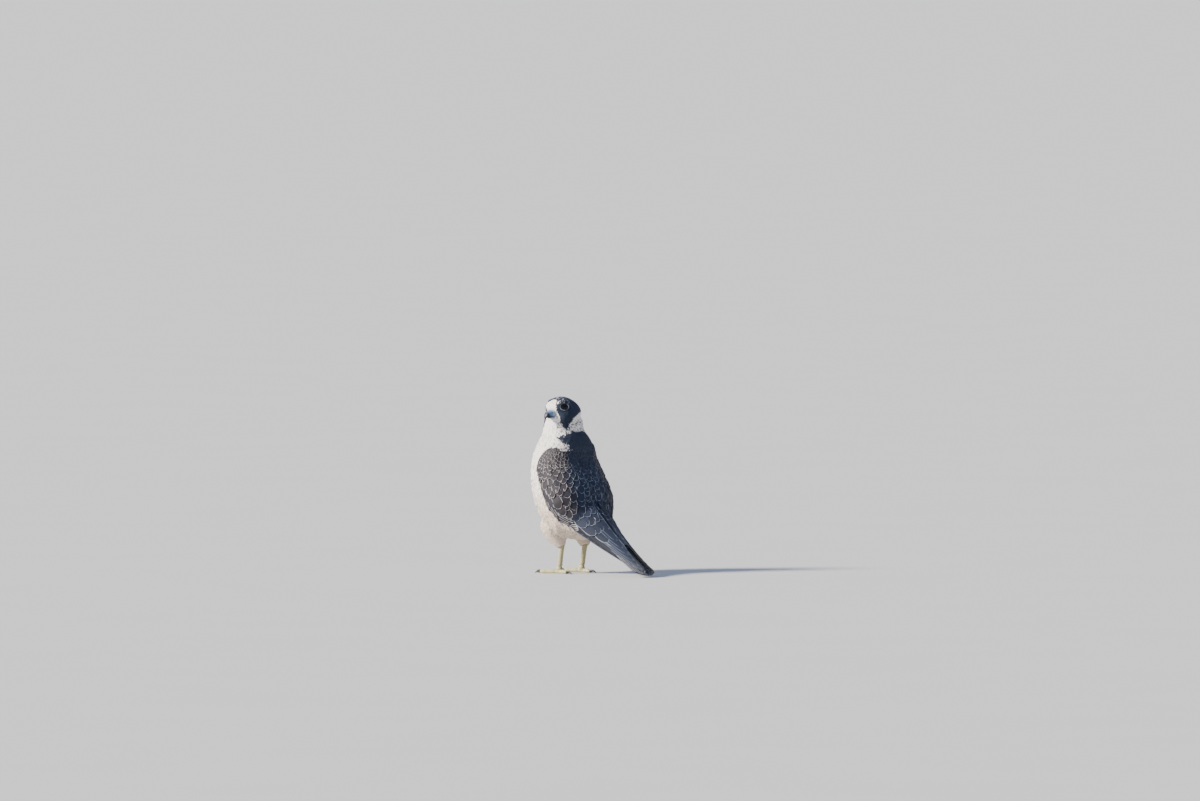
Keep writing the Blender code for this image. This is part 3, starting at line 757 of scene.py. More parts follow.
def tried_roots():
    """Random places on the guide, several for each one that is kept."""
    corner = guide.points[guide.corners]
    across = np.cross(corner[:, 1] - corner[:, 0], corner[:, 2] - corner[:, 0])
    area = np.linalg.norm(across, axis=1) / 2
    count = rng.poisson(ROOTS_TRIED * area / spacing_at(corner.mean(1)) ** 2)
    index = np.repeat(np.arange(len(area)), count)
    a, b = rng.random((2, len(index)))
    flip = a + b > 1
    a, b = np.where(flip, 1 - a, a)[:, None], np.where(flip, 1 - b, b)[:, None]
    spots = corner[index, 0] * (1 - a - b) + corner[index, 1] * a + corner[index, 2] * b
    spots = spots[rng.permutation(len(spots))]
    return spots[~near_eye(spots)]


def scattered_roots():
    """Evenly scattered places on the guide, no two closer than the spacing there."""
    spots = tried_roots()
    reach = spacing_at(spots)
    tree = KDTree(len(spots))
    for i, spot in enumerate(spots.tolist()):
        tree.insert(spot, i)
    tree.balance()
    free = np.ones(len(spots), bool)
    kept = []
    for i in range(len(spots)):
        if free[i]:
            kept.append(i)
            for _, other, _ in tree.find_range(spots[i].tolist(), float(reach[i])):
                free[other] = False
    return spots[kept]


def contour_colours(seen, blend, jitter):
    """Pigment and mark of the small feathers by the places where they show."""
    n = len(seen)
    dark = markings(seen, jitter)
    azimuth, height, local = azimuth_of(seen), seen[:, 2], head_local(seen)
    random = rng.random(n)
    # crown and forehead: pale flecks in the dark and dark ones in the pale, as on a first-year bird
    crown = blend * step(17, 21, local[:, 2]) * step(-6, 12, local[:, 0]) * (rng.random(n) < 0.13)
    dark = np.where(crown > 0.5, 0.62, dark)
    # breast and flanks: fine streaks, stronger to the sides and lower down
    flank = step(25, 70, azimuth)
    strong = (0.35 + 0.5 * flank) * (0.35 + 0.65 * step(215, 160, height)) * rng.uniform(0.4, 1.0, n)
    streak = (1 - dark) * step(258, 236, height) * strong * (rng.random(n) < 0.40 + 0.3 * flank)
    # collar: streaks, and a few dark feathers towards the nape
    collar = (1 - dark) * step(50, 110, azimuth) * step(250, 262, height) * step(300, 284, height)
    streak = np.maximum(streak, collar * 0.9 * (rng.random(n) < 0.12 + 0.34 * step(95, 140, azimuth)))
    inked = (1 - dark) * step(108, 128, azimuth) * step(262, 268, height) * step(296, 284, height)
    dark = np.where(rng.random(n) < inked * 0.26, 0.9, dark)
    side_flecks = (1 - dark) * step(45, 75, azimuth) * step(236, 246, height) * step(272, 262, height)
    streak = np.maximum(streak, side_flecks * (rng.random(n) < 0.30))
    buff = (1 - dark) * (0.06 + 0.5 * step(180, 105, height)) * (1 - blend) + 0.05
    fringe = dark * np.interp(height, (120, 160, 190, 215, 262, 285), (0.12, 0.35, 0.5, 0.2, 0.08, 0.02))
    return (dark, dark * 0.10 * (1 - blend), fringe), (streak, random, buff)


def contour_look(roots, ways):
    """Sizes and colours of the body's and the head's small feathers."""
    n = len(roots)
    spacing, blend = spacing_at(roots), head_blend(roots)
    length = spacing * (5.4 - 0.8 * blend) * rng.uniform(0.82, 1.15, n)
    # those at the shoulder end before the folded wing
    shoulder = (azimuth_of(roots) < 118) & (roots[:, 2] > 205)
    short = np.where(shoulder, np.minimum(1.0, (gap_to_wings(roots) + 6.0) / length), 1.0)
    length = length * short
    jitter = rng.normal(0, 1, n) * np.interp(roots[:, 2], (225, 245, 265, 290), (2.2, 2.8, 2.4, 0.9))
    pigment, mark = contour_colours(roots + ways * (length * 0.75)[:, None], blend, jitter)
    return feather_look(
        n, pigment, mark,
        length=length,
        half_width=spacing * (0.72 + 0.16 * (1 - blend)) * rng.uniform(0.9, 1.1, n) * np.sqrt(short),
        depth=np.interp(spacing, (0.8, 1.5, 3.5), (0.40, 0.62, 1.35)),
        thick=spacing * 0.05,
        edge=np.interp(spacing, (1, 4), (0.4, 1.0)),
    )


def clear_of_others(spots):
    """Which places are clear of the bare parts, of the larger feathers of the back and of the saddle."""
    clear = np.ones(len(spots), bool)
    for node, room in BARE_ROOM:
        clear &= gap_to(node, spots) > room
    for sign in (1, -1):
        gape = from_head(curve(GAPE, spread(0, 1, 12)) * (1, sign, 1))
        clear &= np.linalg.norm(spots[:, None] - gape[None], axis=-1).min(1) > GAPE_ROOM
    in_saddle = (spots[:, 1] > SADDLE_FROM) & (np.abs(spots[:, 0]) < SADDLE_ASIDE)
    in_saddle &= spots[:, 2] > saddle_height(spots) - SADDLE_BELOW
    return clear & ~on_mantle(spots) & ~in_saddle


def make_contour():
    """The small feathers of the head and of the body, as two groups."""
    spots, normals = guide.nearest(scattered_roots())
    names = FLESH + PLATES
    nearest = np.argmin([gap_to(name, spots) for name in names], axis=0)
    on_flesh = ~np.isin(nearest, [names.index(name) for name in ("wing_left", "wing_right", *PLATES)])
    spots, normals = spots[on_flesh], normals[on_flesh]
    clear = clear_of_others(spots)
    spots, normals = spots[clear], normals[clear]
    ways = flow(spots, normals)
    ways = unit(ways + np.cross(normals, ways) * rng.normal(0, 0.10, len(ways))[:, None])
    look = contour_look(spots, ways)
    head = spots[:, 2] > NECK_FOOT
    made = []
    for name, chosen, rows in (("coat_head", head, 5), ("coat_body", ~head, 6)):
        coat = Coat(rows, 5)
        part = {key: value[chosen] for key, value in look.items()}
        lay(coat, spots[chosen], ways[chosen], part, roundness=0.8)
        made += coat.make(name, feather_material)
    return made


# ---- wing coverts and scapulars ----
BODY_RUN = 324.0  # millimetres along the wing for a whole share of the body's length
# Rows of the folded wing: exposed length, feather width, fringe, from the shoulder down
ROW_STEPS = (
    (4.0, 5.5, 0.30), (4.4, 5.8, 0.45), (4.8, 6.2, 0.6), (5.2, 6.8, 0.7), (5.8, 7.5, 0.8), (6.4, 8.2, 0.9),
    (7.0, 9.0, 0.9), (8.0, 10.0, 1.0), (9.0, 11.5, 1.0), (10.0, 13.0, 1.0), (11.5, 14.5, 1.0),
    (12.5, 16.0, 1.0), (13.5, 17.0, 1.0), (14.5, 18.0, 1.0), (15.5, 18.5, 1.0), (16.0, 19.0, 1.0),
    (16.5, 19.0, 1.0), (17.0, 19.0, 1.0), (17.0, 19.0, 1.0),
)
FIRST_TIP, LAST_TIP = 0.388, 1.03
# Where the coverts leave the secondaries bare: shares of the body's length, and places across the wing
COVERT_EDGE = ((0.60, 0.68, 0.78, 0.88, 1.0), (0.0, 0.07, 0.19, 0.32, 0.46))
# Where the wing's brown turns to slate with painted blue shade, as the wing turns into shade: shares of the
# body's length, and places across the wing
BROWN_EDGE = ((0.42, 0.52, 0.70), (1.06, 0.90, 0.66))
SHADOW_SLIT_TOP, SHADOW_SLIT_FOOT = (59.5, -62.5, 211.0), (66.7, -54.7, 188.0)  # a dark feather laid where the left wing's coverts part: a painted shadow of the gap


def wing_row_places():
    """Share, angle, exposed length, width, fringe and place across of each covert's tip on the left wing."""
    found = []
    share = FIRST_TIP
    for exposed, wide, fringe in ROW_STEPS:
        share += exposed / BODY_RUN
        if share > LAST_TIP:
            break
        front, back = wing_edges(min(share, 1.0))
        radius = np.linalg.norm(on_body(share, front) - on_body(share, front - 10)) / math.radians(10)
        chord = math.radians(front - back) * radius
        across = np.interp(share, *COVERT_EDGE) + rng.uniform(0, 0.5) * wide / chord
        while across < 1.05:
            bow = 0.018 * math.sin(math.pi * min(across, 1.0)) + rng.normal(0, 0.2) * exposed / BODY_RUN
            found.append((share + bow, front + (back - front) * across, exposed, wide, fringe, across))
            across += wide / chord * rng.uniform(0.62, 0.92)
    return np.array(found).T


def covert_sizes(exposed, wide, widest, depths, thicks):
    """Sizes of coverts from the length and width that each leaves bare."""
    return dict(
        length=exposed * np.interp(exposed, (4, 14), (3.2, 2.4)),
        half_width=wide * 0.52 * rng.uniform(0.88, widest, len(wide)),
        depth=np.interp(exposed, (4, 14), depths),
        thick=np.interp(exposed, (4, 14), thicks),
        edge=np.interp(wide, (5.5, 10, 16), (0.75, 1.05, 1.4)),
    )


def lay_coverts(coat, share, angle, look, **how):
    """Lays coverts whose tips are at shares of the body's length and angles round it."""
    start = share - look["length"] / BODY_RUN
    roots = on_body(start, angle)
    ahead = on_body(start + 0.02, angle)
    lay(coat, roots, unit(ahead - roots), look, roundness=0.75, flow_follow=0.15, **how)


def wing_look(share, exposed, wide, fringe, across):
    """Coverts brown in front and, behind, slate with painted blue shade; the upper ones plain behind."""
    n = len(share)
    random = rng.random(n)
    behind = across - np.interp(share, *BROWN_EDGE)
    warm = np.clip(1.0 - step(-0.22, 0.12, behind) * 0.9 + rng.normal(0, 0.08, n), 0, 1)
    plain = step(-0.1, 0.06, behind) * step(0.56, 0.48, share)
    fringe = fringe * (1 - 0.85 * plain) * rng.uniform(0.75, 1.0, n)
    sizes = covert_sizes(exposed, wide, 1.14, (2.0, 2.8), (0.25, 0.45))
    return feather_look(n, (1.0, warm, fringe), (0.0, random, 0.1), **sizes)


def make_wing(word, side):
    """Scapulars and coverts over one folded wing, and on the left one a dark feather that paints the shadow
    of a parting between them.
    """
    share, angle, exposed, wide, fringe, across = wing_row_places()
    look = wing_look(share, exposed, wide, fringe, across)
    coat = Coat(10, 9)
    lay_coverts(coat, share, on_side(angle, side), look, roll=0.05 * side)
    if side > 0:
        # painted shadow: one narrow feather, its random of -1.7 making it far darker than the rest
        shadow_slit = feather_look(1, (1.0, 0.0, 0.0), (0.0, -1.7, 0.0), length=23.0, half_width=1.3, depth=1.0,
                            thick=0.2, edge=1.0)
        top, foot = np.array([SHADOW_SLIT_TOP]), np.array([SHADOW_SLIT_FOOT])
        lay(coat, top, unit(foot - top), shadow_slit, flow_follow=0.0, lift=0.45, roll=0.0)
    return coat.make(f"coverts_{word}", feather_material)


# ---- mantle ----
MANTLE_FIRST, MANTLE_LAST = 0.455, 0.84  # shares of the body's length where the larger back feathers run
# Exposed length and width of its feathers, by share
MANTLE_EXPOSED = ((0.45, 0.52, 0.64), (5.5, 8.5, 14.0))
MANTLE_WIDE = ((0.45, 0.52, 0.64), (7.5, 11.0, 15.0))
MANTLE_FRINGE = ((120, 190, 208, 226), (1.0, 0.9, 0.45, 0.12))  # by height


def back_angles(share, inset, count):
    """Angles across the back from the left wing's edge to the right wing's, both moved in by an inset."""
    edge = float(wing_edges(share)[1]) + inset
    return spread(edge, -180 - edge, count)


def on_mantle(spots):
    """Which places lie on the back between the wings, where the larger feathers run."""
    shares = spread(MANTLE_FIRST + 0.025, MANTLE_LAST + 0.03, 64)
    middles = np.concatenate([on_body(share, back_angles(share, -2, 13)) for share in shares])
    tree = KDTree(len(middles))
    for i, spot in enumerate(middles.tolist()):
        tree.insert(spot, i)
    tree.balance()
    return np.array([tree.find(spot)[2] < 2.2 for spot in spots.tolist()])


def mantle_places():
    """Share, angle, exposed length and width of each feather's tip down the back."""
    found = []
    share, row = MANTLE_FIRST, 0
    while share < MANTLE_LAST:
        exposed = float(np.interp(share, *MANTLE_EXPOSED))
        wide = float(np.interp(share, *MANTLE_WIDE))
        first, last = on_body(share, back_angles(share, 6, 2))
        count = max(2, round(np.linalg.norm(first - last) / (wide * 0.78))) + row % 2
        for angle in back_angles(share, 6, count):
            bow = rng.normal(0, 0.2) * exposed / BODY_RUN
            found.append((share + bow, angle + rng.normal(0, 0.6), exposed, wide))
        share += exposed / BODY_RUN
        row += 1
    return np.array(found).T


def make_mantle():
    """The larger feathers down the middle of the back, between the wings."""
    share, angle, exposed, wide = mantle_places()
    n = len(share)
    fringe = np.interp(on_body(share, angle)[:, 2], *MANTLE_FRINGE) * rng.uniform(0.75, 1.0, n)
    sizes = covert_sizes(exposed, wide, 1.12, (1.8, 2.6), (0.25, 0.42))
    # warm 0.08: nearly all slate, which carries painted blue shade
    look = feather_look(n, (1.0, 0.08, fringe), (0.0, rng.random(n), 0.1), **sizes)
    coat = Coat(9, 8)
    lay_coverts(coat, share, angle, look, lift=0.35)
    return coat.make("mantle", feather_material)


# ---- tertials and rump ----
# Tertials over the folded wings' ends: share at the root, length, half width, lift, and the places across
TERTIALS = (
    (0.92, 112.0, 10.5, -0.9, (0.52, 0.70, 0.88)),
    (0.90, 94.0, 10.5, -0.5, (0.46, 0.62, 0.78, 0.95)),
    (0.88, 76.0, 10.0, -0.1, (0.36, 0.52, 0.68, 0.86)),
    (0.86, 58.0, 10.0, 0.3, (0.34, 0.48, 0.62, 0.78, 0.94)),
    (0.84, 42.0, 9.5, 0.6, (0.40, 0.55, 0.70, 0.85, 1.02)),
)
# Feathers of the rump over the tail's root: y of the root, length, and the places from side to side
RUMP = (
    (-6, 40, (-5, 0, 5)), (6, 42, (-4, 4)), (18, 44, (-5, 0, 5)), (32, 44, (-4, 4)), (44, 44, (-4, 0, 4)),
    (52, 44, (-2.5, 2.5)), (60, 44, (-2, 2)), (66, 46, (0.5,)),
)
RUMP_WAY = (0.0, 1.0, -0.85)


def make_tertials(word, side):
    """Long feathers that run from the wing's back part over the primaries and the rump."""
    coat = Coat(14, 7)
    for share, length, half_width, lift, places in TERTIALS:
        across = np.array(places)
        n = len(across)
        lengths = length * rng.uniform(0.95, 1.05, n)
        look = feather_look(n, (1.0, 0.2 - 0.1 * across, 1.0), (0.0, rng.random(n), 0.1), length=lengths,
                            half_width=half_width, depth=3.0, thick=0.4, edge=1.2)
        roots, ahead = on_wing(share, across, side), on_wing(share + 0.03, across, side)
        lay(coat, roots, unit(ahead - roots), look, roundness=0.8, flow_follow=0.35, lift=lift,
            roll=0.03 * side, web=side)
    return coat.make(f"tertials_{word}", feather_material)


def make_rump():
    """Dark coverts that run down between the folded wings' ends to the tail."""
    coat = Coat(12, 7)
    for y, length, places in RUMP:
        n = len(places)
        roots = for_each(n, places, y, 0.0)
        roots[:, 2] = saddle_height(roots)
        lengths = length * rng.uniform(0.94, 1.06, n)
        half_width = np.interp(y, (10, 60), (6.5, 4.2))
        look = feather_look(n, (1.0, 0.1, 0.2), (0.0, rng.random(n), 0.1), length=lengths,
                            half_width=half_width, depth=2.0, thick=0.3, edge=0.9)
        ways = np.broadcast_to(unit(np.array(RUMP_WAY)), roots.shape)
        lay(coat, roots, ways, look, roundness=0.8, flow_follow=0.0, lift=0.2, roll=0.0)
    return coat.make("rump_coverts", feather_material)


# ---- secondaries ----
SECONDARIES = 11
SECONDARY_HALF_WIDTH = 7.0


def add_secondary(coat, i, side):
    """One long feather along the folded wing's lower edge, each next one lying further back across it."""
    across = 0.03 + 0.042 * i
    shares = spread(0.58, 0.99 - 0.010 * i, coat.rows)
    here, ups = guide.nearest(on_wing(shares, across, side))
    ways = unit(np.gradient(here, axis=0))
    along, over = spread(0, 1, coat.rows)[:, None], spread(-1, 1, coat.columns)
    width = SECONDARY_HALF_WIDTH * np.interp(along, (0, 0.8, 0.93, 1), (0.8, 1, 0.75, 0.4))
    pull = 0.5 * SECONDARY_HALF_WIDTH * along ** 6 * over ** 2
    sideways = np.cross(ups, ways)
    flat = here[:, None] + sideways[:, None] * (over * width)[..., None] - ways[:, None] * pull[..., None]
    base, normal = (part.reshape(1, *flat.shape) for part in guide.nearest(flat.reshape(-1, 3)))
    bare = np.interp(across, COVERT_EDGE[1], COVERT_EDGE[0])
    height = -3.5 + 0.21 * i + 1.6 * step(bare - 0.03, bare + 0.05, shares)
    rise = (height[:, None] + 0 * over)[None]
    vane = stacked(over, along, np.minimum((1 - np.abs(over)) * width, (1 - along) * 120))[None]
    cell = (i + 0.5 + 0.45 * vane[..., 0]) / SECONDARIES
    uv = stacked(0.02 + 0.96 * cell, 0.02 + 0.96 * vane[..., 1])
    look = feather_look(1, (1.0, 0.9 - 0.05 * i, 1.0), (0.0, rng.random(), 0.1))
    coat.add(base, normal, rise, 0.25, vane, look, uv)


def make_secondaries(word, side):
    """Secondaries' edges, nested along the wing's front edge, the inner ones over the outer ones."""
    coat = Coat(16, 7)
    for i in range(SECONDARIES):
        add_secondary(coat, i, side)
    return coat.make(f"secondaries_{word}", feather_material)


# ---- primaries and tail ----
# Folded primaries: forward, the outer edge's side and height, the inner edge's, half thickness, camber
PRIMARY_SECTIONS = (
    (-48.0, 62.0, 107.0, 14.0, 140.0, 6.5, 8.0),
    (-72.0, 51.0, 84.0, 6.0, 136.0, 6.0, 8.0),
    (-98.0, 42.5, 68.0, 4.5, 113.0, 5.0, 7.0),
    (-126.0, 34.5, 52.5, 4.0, 88.0, 4.0, 5.5),
    (-156.0, 27.0, 37.5, 4.0, 64.5, 3.2, 4.0),
    (-186.0, 20.5, 23.5, 4.5, 43.0, 2.5, 2.6),
    (-211.0, 16.0, 13.5, 6.0, 26.5, 1.9, 1.4),
    (-229.0, 13.0, 9.0, 8.5, 14.5, 1.3, 0.5),
)


def on_primaries(v, w, side, face):
    """Places on a face of the folded primaries: v from wrist to tip, w from the outer to the inner edge."""
    row = curve(PRIMARY_SECTIONS, v)
    turn = 1 - 2 * np.clip(w, 0.02, 0.98)
    outer = stacked(side * row[..., 1], row[..., 2])
    inner = stacked(side * row[..., 3], row[..., 4])
    middle, across = (outer + inner) / 2, (outer - inner) / 2
    out = unit(stacked(-across[..., 1], across[..., 0])) * side
    rise = face * np.sqrt(1 - turn ** 2) * row[..., 5] + row[..., 6] * (1 - turn ** 2)
    at = middle + across * turn[..., None] + out * rise[..., None]
    return stacked(at[..., 0], FORWARD_ZERO - row[..., 0], at[..., 1])


TAIL_ROOT = np.array((0.0, FORWARD_ZERO + 60.0, 103.0))
TAIL_TIP = np.array((0.0, FORWARD_ZERO + 232.0, 2.6))
TAIL_HALF_WIDTH = 29.0
TAIL_ARCH = 4.0  # how far the edges lie under its middle
tail_way = unit(TAIL_TIP - TAIL_ROOT)
tail_up = np.array((0.0, -tail_way[2], tail_way[1]))
tail_length = float(np.linalg.norm(TAIL_TIP - TAIL_ROOT))


def on_tail(v, w, face):
    """Places on a face of the folded tail: v from root to tip, w from -1 on the right to 1 on the left."""
    half = TAIL_HALF_WIDTH * (0.72 + 0.28 * v)
    across = np.array((1.0, 0, 0)) * (half * w * 0.97)[..., None]
    flat = TAIL_ROOT + tail_way * (tail_length * v)[..., None] + across
    flat = flat - tail_up * (TAIL_ARCH * (1 - 0.4 * v) * w * w)[..., None]
    start = (flat + tail_up * 40.0 * face).reshape(-1, 3)
    where, _, met = tail_surface.hit(start, np.broadcast_to(-tail_up * face, start.shape))
    if not met.all():
        where[~met] = tail_surface.nearest(flat.reshape(-1, 3)[~met])[0]
    return where.reshape(flat.shape)


def sheet_normals(grid, outward):
    """Normals of a grid of points, on the side that outward points to."""
    along, across = np.gradient(grid, axis=0), np.gradient(grid, axis=1)
    normal = unit(np.cross(along, across))
    flip = np.sign((normal * outward).sum(-1, keepdims=True))
    return normal * np.where(flip == 0, 1, flip)


def add_quill(coat, sheet, ends, sides, rise, thick, look, cell, outward, taper=(0.72, 0.3), sink=0.0):
    """One flight feather on a sheet, between two ends along it and two sides across it.

    The taper is where the vane starts to narrow and how wide its tip is; the root lies lower by the sink.
    """
    along = spread(0, 1, coat.rows)[:, None] ** 0.92
    across = spread(-1, 1, coat.columns)
    (start, end), (low, high), (begin, blunt) = ends, sides, taper
    fade = np.clip((along - begin) / (1 - begin), 0, 1)
    width = blunt + (1 - blunt) * np.sqrt(np.maximum(1 - fade ** 2, 0))
    v = start + (end - start) * (along - 0.03 * along ** 8 * across ** 2)
    w = (low + high) / 2 + (high - low) / 2 * across * width
    grid = sheet(v, w)
    middle = grid[coat.rows // 2]
    size = np.linalg.norm(middle[-1] - middle[0]) / 2
    long = np.linalg.norm(np.diff(grid[:, coat.columns // 2], axis=0), axis=1).sum()
    rim = np.minimum((1 - np.abs(across)) * width * size, (1 - along) * long)
    vane = stacked(across, along, rim)[None]
    uv = stacked((cell[0] + 0.5 + 0.46 * vane[..., 0]) / cell[1], 0.02 + 0.96 * vane[..., 1])
    lower = 1.2 * np.clip(1 - along / 0.25, 0, 1) + sink * step(0.75, 0.35, along)
    rises = (rise - lower + 0 * across)[None]
    coat.add(grid[None], sheet_normals(grid, outward)[None], rises, thick, vane, look, uv)


PRIMARIES = 8  # that show on each face of a folded wing's end
TAIL_PAIRS = 6


def make_primaries(word, side):
    """The folded primaries' vanes, on the outer face and on the inner one."""
    coat = Coat(26, 7)
    for face in (1, -1):
        outward = np.array((side * 0.8 * face, 0.0, 0.6 * face))
        sheet = functools.partial(on_primaries, side=side, face=face)
        outer = face > 0
        for i in range(PRIMARIES):
            low = 0.095 * i
            end = 0.995 - (0.0 if i < 2 else 0.075 * (i - 1))
            rise = 0.22 * (i if outer else PRIMARIES - 1 - i) - 1.5
            pigment = (1.0, 0.12, 0.5 if outer else 0.2)
            look = feather_look(1, pigment, (0.0 if outer else 0.35, rng.random(), 0.3))
            cell = (i + (0 if outer else PRIMARIES), 2 * PRIMARIES)
            add_quill(coat, sheet, (0.02, end), (low, min(low + 0.52, 1.0)), rise, 0.5, look, cell, outward,
                      sink=1.6)
    return coat.make(f"primary_vanes_{word}", flight_material)


def make_tail():
    """The twelve tail feathers' vanes on the upper face and on the lower one."""
    coat = Coat(24, 7)
    for face in (1, -1):
        sheet = functools.partial(on_tail, face=face)
        upper = face > 0
        for i in reversed(range(TAIL_PAIRS)):
            for sign in (1, -1):
                middle = sign * (0.09 + 0.118 * i)
                sides = (max(middle - 0.33, -1.0), min(middle + 0.33, 1.0))
                rise = -0.24 * (i if upper else TAIL_PAIRS - 1 - i) - 0.35 + 0.05 * sign
                pigment = (1.0, 0.45, 0.8 if upper else 0.2)
                look = feather_look(1, pigment, (0.55 if upper else 0.9, rng.random(), 0.4))
                place = i + (0 if sign > 0 else TAIL_PAIRS) + (0 if upper else 2 * TAIL_PAIRS)
                add_quill(coat, sheet, (0.2, 0.985 - 0.006 * i ** 1.3), sides, rise, 0.45, look,
                          (place, 4 * TAIL_PAIRS), tail_up * face, taper=(0.86, 0.45))
    return coat.make("tail_vanes", flight_material)


# ---- skin ----
SKIN_VOXEL, SKIN_SMOOTHING = 2.0, 6
WING_SKIN_DEPTH = 2.6
SKIN_DEPTH = ((1, 2, 4), (0.8, 1.3, 2.7))  # by the spacing of the feathers
EYE_SOCKET = 5.0  # how far the skin is pushed in under the rings
NO_RIM = 9.0  # a distance from the rim that shows no fringe
CORE_THICKNESS = 0.3  # share of the space between a plate's two faces


def loop_chart(points, faces):
    """The chart's places for every face corner, each face kept on one side of the chart's seams."""
    corner = chart(points)[faces]
    own = chart(points[faces].mean(1))[:, None]
    other = np.abs(corner - own).max(-1) > 0.12
    corner = np.where(other[..., None], own + rng.normal(0, 0.0004, corner.shape), corner)
    return corner.reshape(-1, 2)


def make_down(name, points, faces, dark, random, buff, *nodes, charted=None):
    """A piece of plain down-covered skin that takes the place of CAD nodes.

    Its chart is read at the charted points, where they aren't its own.
    """
    count = len(points)
    marks = dict(
        vane=for_each(count, 0.0, 0.0, NO_RIM),
        pigment=for_each(count, dark, 0.3, 0.0),
        mark=for_each(count, 0.0, random, buff),
    )
    uv = loop_chart(points if charted is None else charted, faces)
    made = make_object(name, points, faces, skin_material, marks, uv)
    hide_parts(*nodes)
    return made


def room_under(source):
    """Distance from each point of a surface to its far side, straight in."""
    starts = source.points - source.normals * 0.2
    rays = zip(starts.tolist(), (-source.normals).tolist())
    hits = [source.tree.ray_cast(start, way) for start, way in rays]
    return np.array([hit[3] if hit[0] is not None else 20.0 for hit in hits])


def make_skin():
    """One skin in place of the flesh nodes, under the coat by its depth."""
    source = Surface(remeshed(FLESH + EYEBALLS, SKIN_VOXEL, SWELL, SKIN_SMOOTHING))
    points = source.points
    on_wings = gap_to_wings(points) < 1.5
    depth = np.where(on_wings, WING_SKIN_DEPTH, np.interp(spacing_at(points), *SKIN_DEPTH))
    depth = np.minimum(depth, room_under(source) * 0.3)
    places = points - source.normals * depth[:, None]
    for centre, axis, along, high in EYE_FRAMES.values():
        off = places - centre
        share = ring_share(off @ along, off @ high)
        places -= axis * (EYE_SOCKET * step(1.05, 0.85, share) * (off @ axis > 0))[:, None]
    dark = np.where(on_wings, 1.0, markings(points, np.zeros(len(points))))
    return make_down("skin", places, source.corners, dark, 0.5, 0.2, *FLESH, charted=points)


def make_core(name, sheet, v, w, *nodes):
    """The dark inside of a plate of flight feathers: a thin loft between its two faces."""
    rows, over = np.meshgrid(v, w, indexing="ij")
    top, bottom = sheet(rows, over, face=1), sheet(rows, over, face=-1)
    middle = (top + bottom) / 2
    upper, lower = middle + (top - middle) * CORE_THICKNESS, middle + (bottom - middle) * CORE_THICKNESS
    rings = np.concatenate([upper, lower[:, ::-1]], 1)
    points, faces = tube(rings)
    return make_down(name, points, faced_out(points, faces, points.mean(0)), 1.0, 0.2, 0.0, *nodes)


# ---- head's bare parts ----
# Closed outline of a lid: share of the way out, height above the line from eye to feathers
RING_PROFILE = (
    (0.00, -0.30), (0.04, 0.15), (0.18, 0.48), (0.38, 0.55), (0.58, 0.35), (0.80, -0.15), (1.0, -0.9),
    (1.0, -1.4), (0.5, -1.5), (0.1, -1.0), (0.0, -0.30),
)
OPENING_WIDE, OPENING_HIGH, OPENING_LOW = 7.7, 5.9, 6.4  # half sizes of the opening between the lids
# Nostril: distance from its middle, and height
NOSTRIL_PROFILE = (
    (0.02, 0.20), (0.15, 0.18), (0.26, 0.12), (0.36, 0.06), (0.55, 0.05), (0.85, 0.06), (0.98, 0.16),
    (1.10, 0.28), (1.30, 0.30), (1.60, 0.18), (2.0, -0.02), (2.3, -0.3),
)
NOSTRIL_PLACE = (31.0, 30.0, 1.6)  # a place outside it, in the head's axes


def faced_out(points, faces, centre):
    """Faces turned so that most of them look away from a centre."""
    corner = points[faces]
    normal = np.cross(corner[:, 1] - corner[:, 0], corner[:, 2] - corner[:, 0])
    away = (normal * (corner.mean(1) - centre)).sum()
    return faces if away > 0 else faces[:, ::-1]


def spokes(turn, along, high):
    """Ways out from an axis at angles round it."""
    return np.cos(turn)[..., None] * along + np.sin(turn)[..., None] * high


def grid_object(name, points, tone, material, centre=None):
    """An object from a grid of points that closes round, its faces turned away from a centre."""
    faces = grid_faces(numbered(*points.shape[:2]), closed=True)
    points = points.reshape(-1, 3)
    faces = faces if centre is None else faced_out(points, faces, centre)
    return make_object(name, points, faces, material, dict(tone=tone.reshape(-1, 3)))


def make_eyeball(word):
    """A glossy eyeball whose rows run from the middle of the pupil."""
    centre, axis, along, high = EYE_FRAMES[word]
    polar, turn = np.meshgrid(spread(0.004, math.pi - 0.004, 40), round_turn(48), indexing="ij")
    bulge = (1 + 0.018 * np.exp(-(polar / 0.45) ** 2))[..., None]
    way = np.sin(polar)[..., None] * spokes(turn, along, high) + np.cos(polar)[..., None] * axis
    tone = stacked(EYE_RADIUS * np.sin(polar), turn, polar)
    eye = grid_object(f"eyeball_{word}", centre + EYE_RADIUS * bulge * way, tone, eye_material, centre)
    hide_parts(f"eye_{word}")
    return eye


def make_ring(word):
    """The bare, pale skin round an eye, thick at its inner lip."""
    centre, axis, along, high = EYE_FRAMES[word]
    turn = round_turn(96)
    radial = spokes(turn, along, high)
    outer = 1 / ring_share(np.cos(turn), np.sin(turn)) + 0.5
    tall = np.where(np.sin(turn) > 0, OPENING_HIGH, OPENING_LOW)
    inner = 1 / np.hypot(np.cos(turn) / OPENING_WIDE, np.sin(turn) / tall)
    start = centre + radial * outer[:, None] + axis * 25.0
    hits = guide.hit(start, np.broadcast_to(-axis, start.shape))[0]
    outer_height = (hits - centre) @ axis
    inner_height = np.sqrt(EYE_RADIUS ** 2 - inner ** 2)
    share, bulge = curve(RING_PROFILE, spread(0, 1, 31)).T[..., None]
    wrinkle = 0.05 * np.sin(turn * 38) * np.clip(share * 2, 0, 1)
    height = inner_height + (outer_height - inner_height) * step(0, 1, share) ** 0.8 + bulge + wrinkle
    radius = inner + (outer - inner) * share
    points = centre + radial[None] * radius[..., None] + axis * height[..., None]
    tone = stacked(share, np.sin(turn), np.cos(turn))
    return grid_object(f"eye_ring_{word}", points, tone, ring_material, centre + axis * 5)


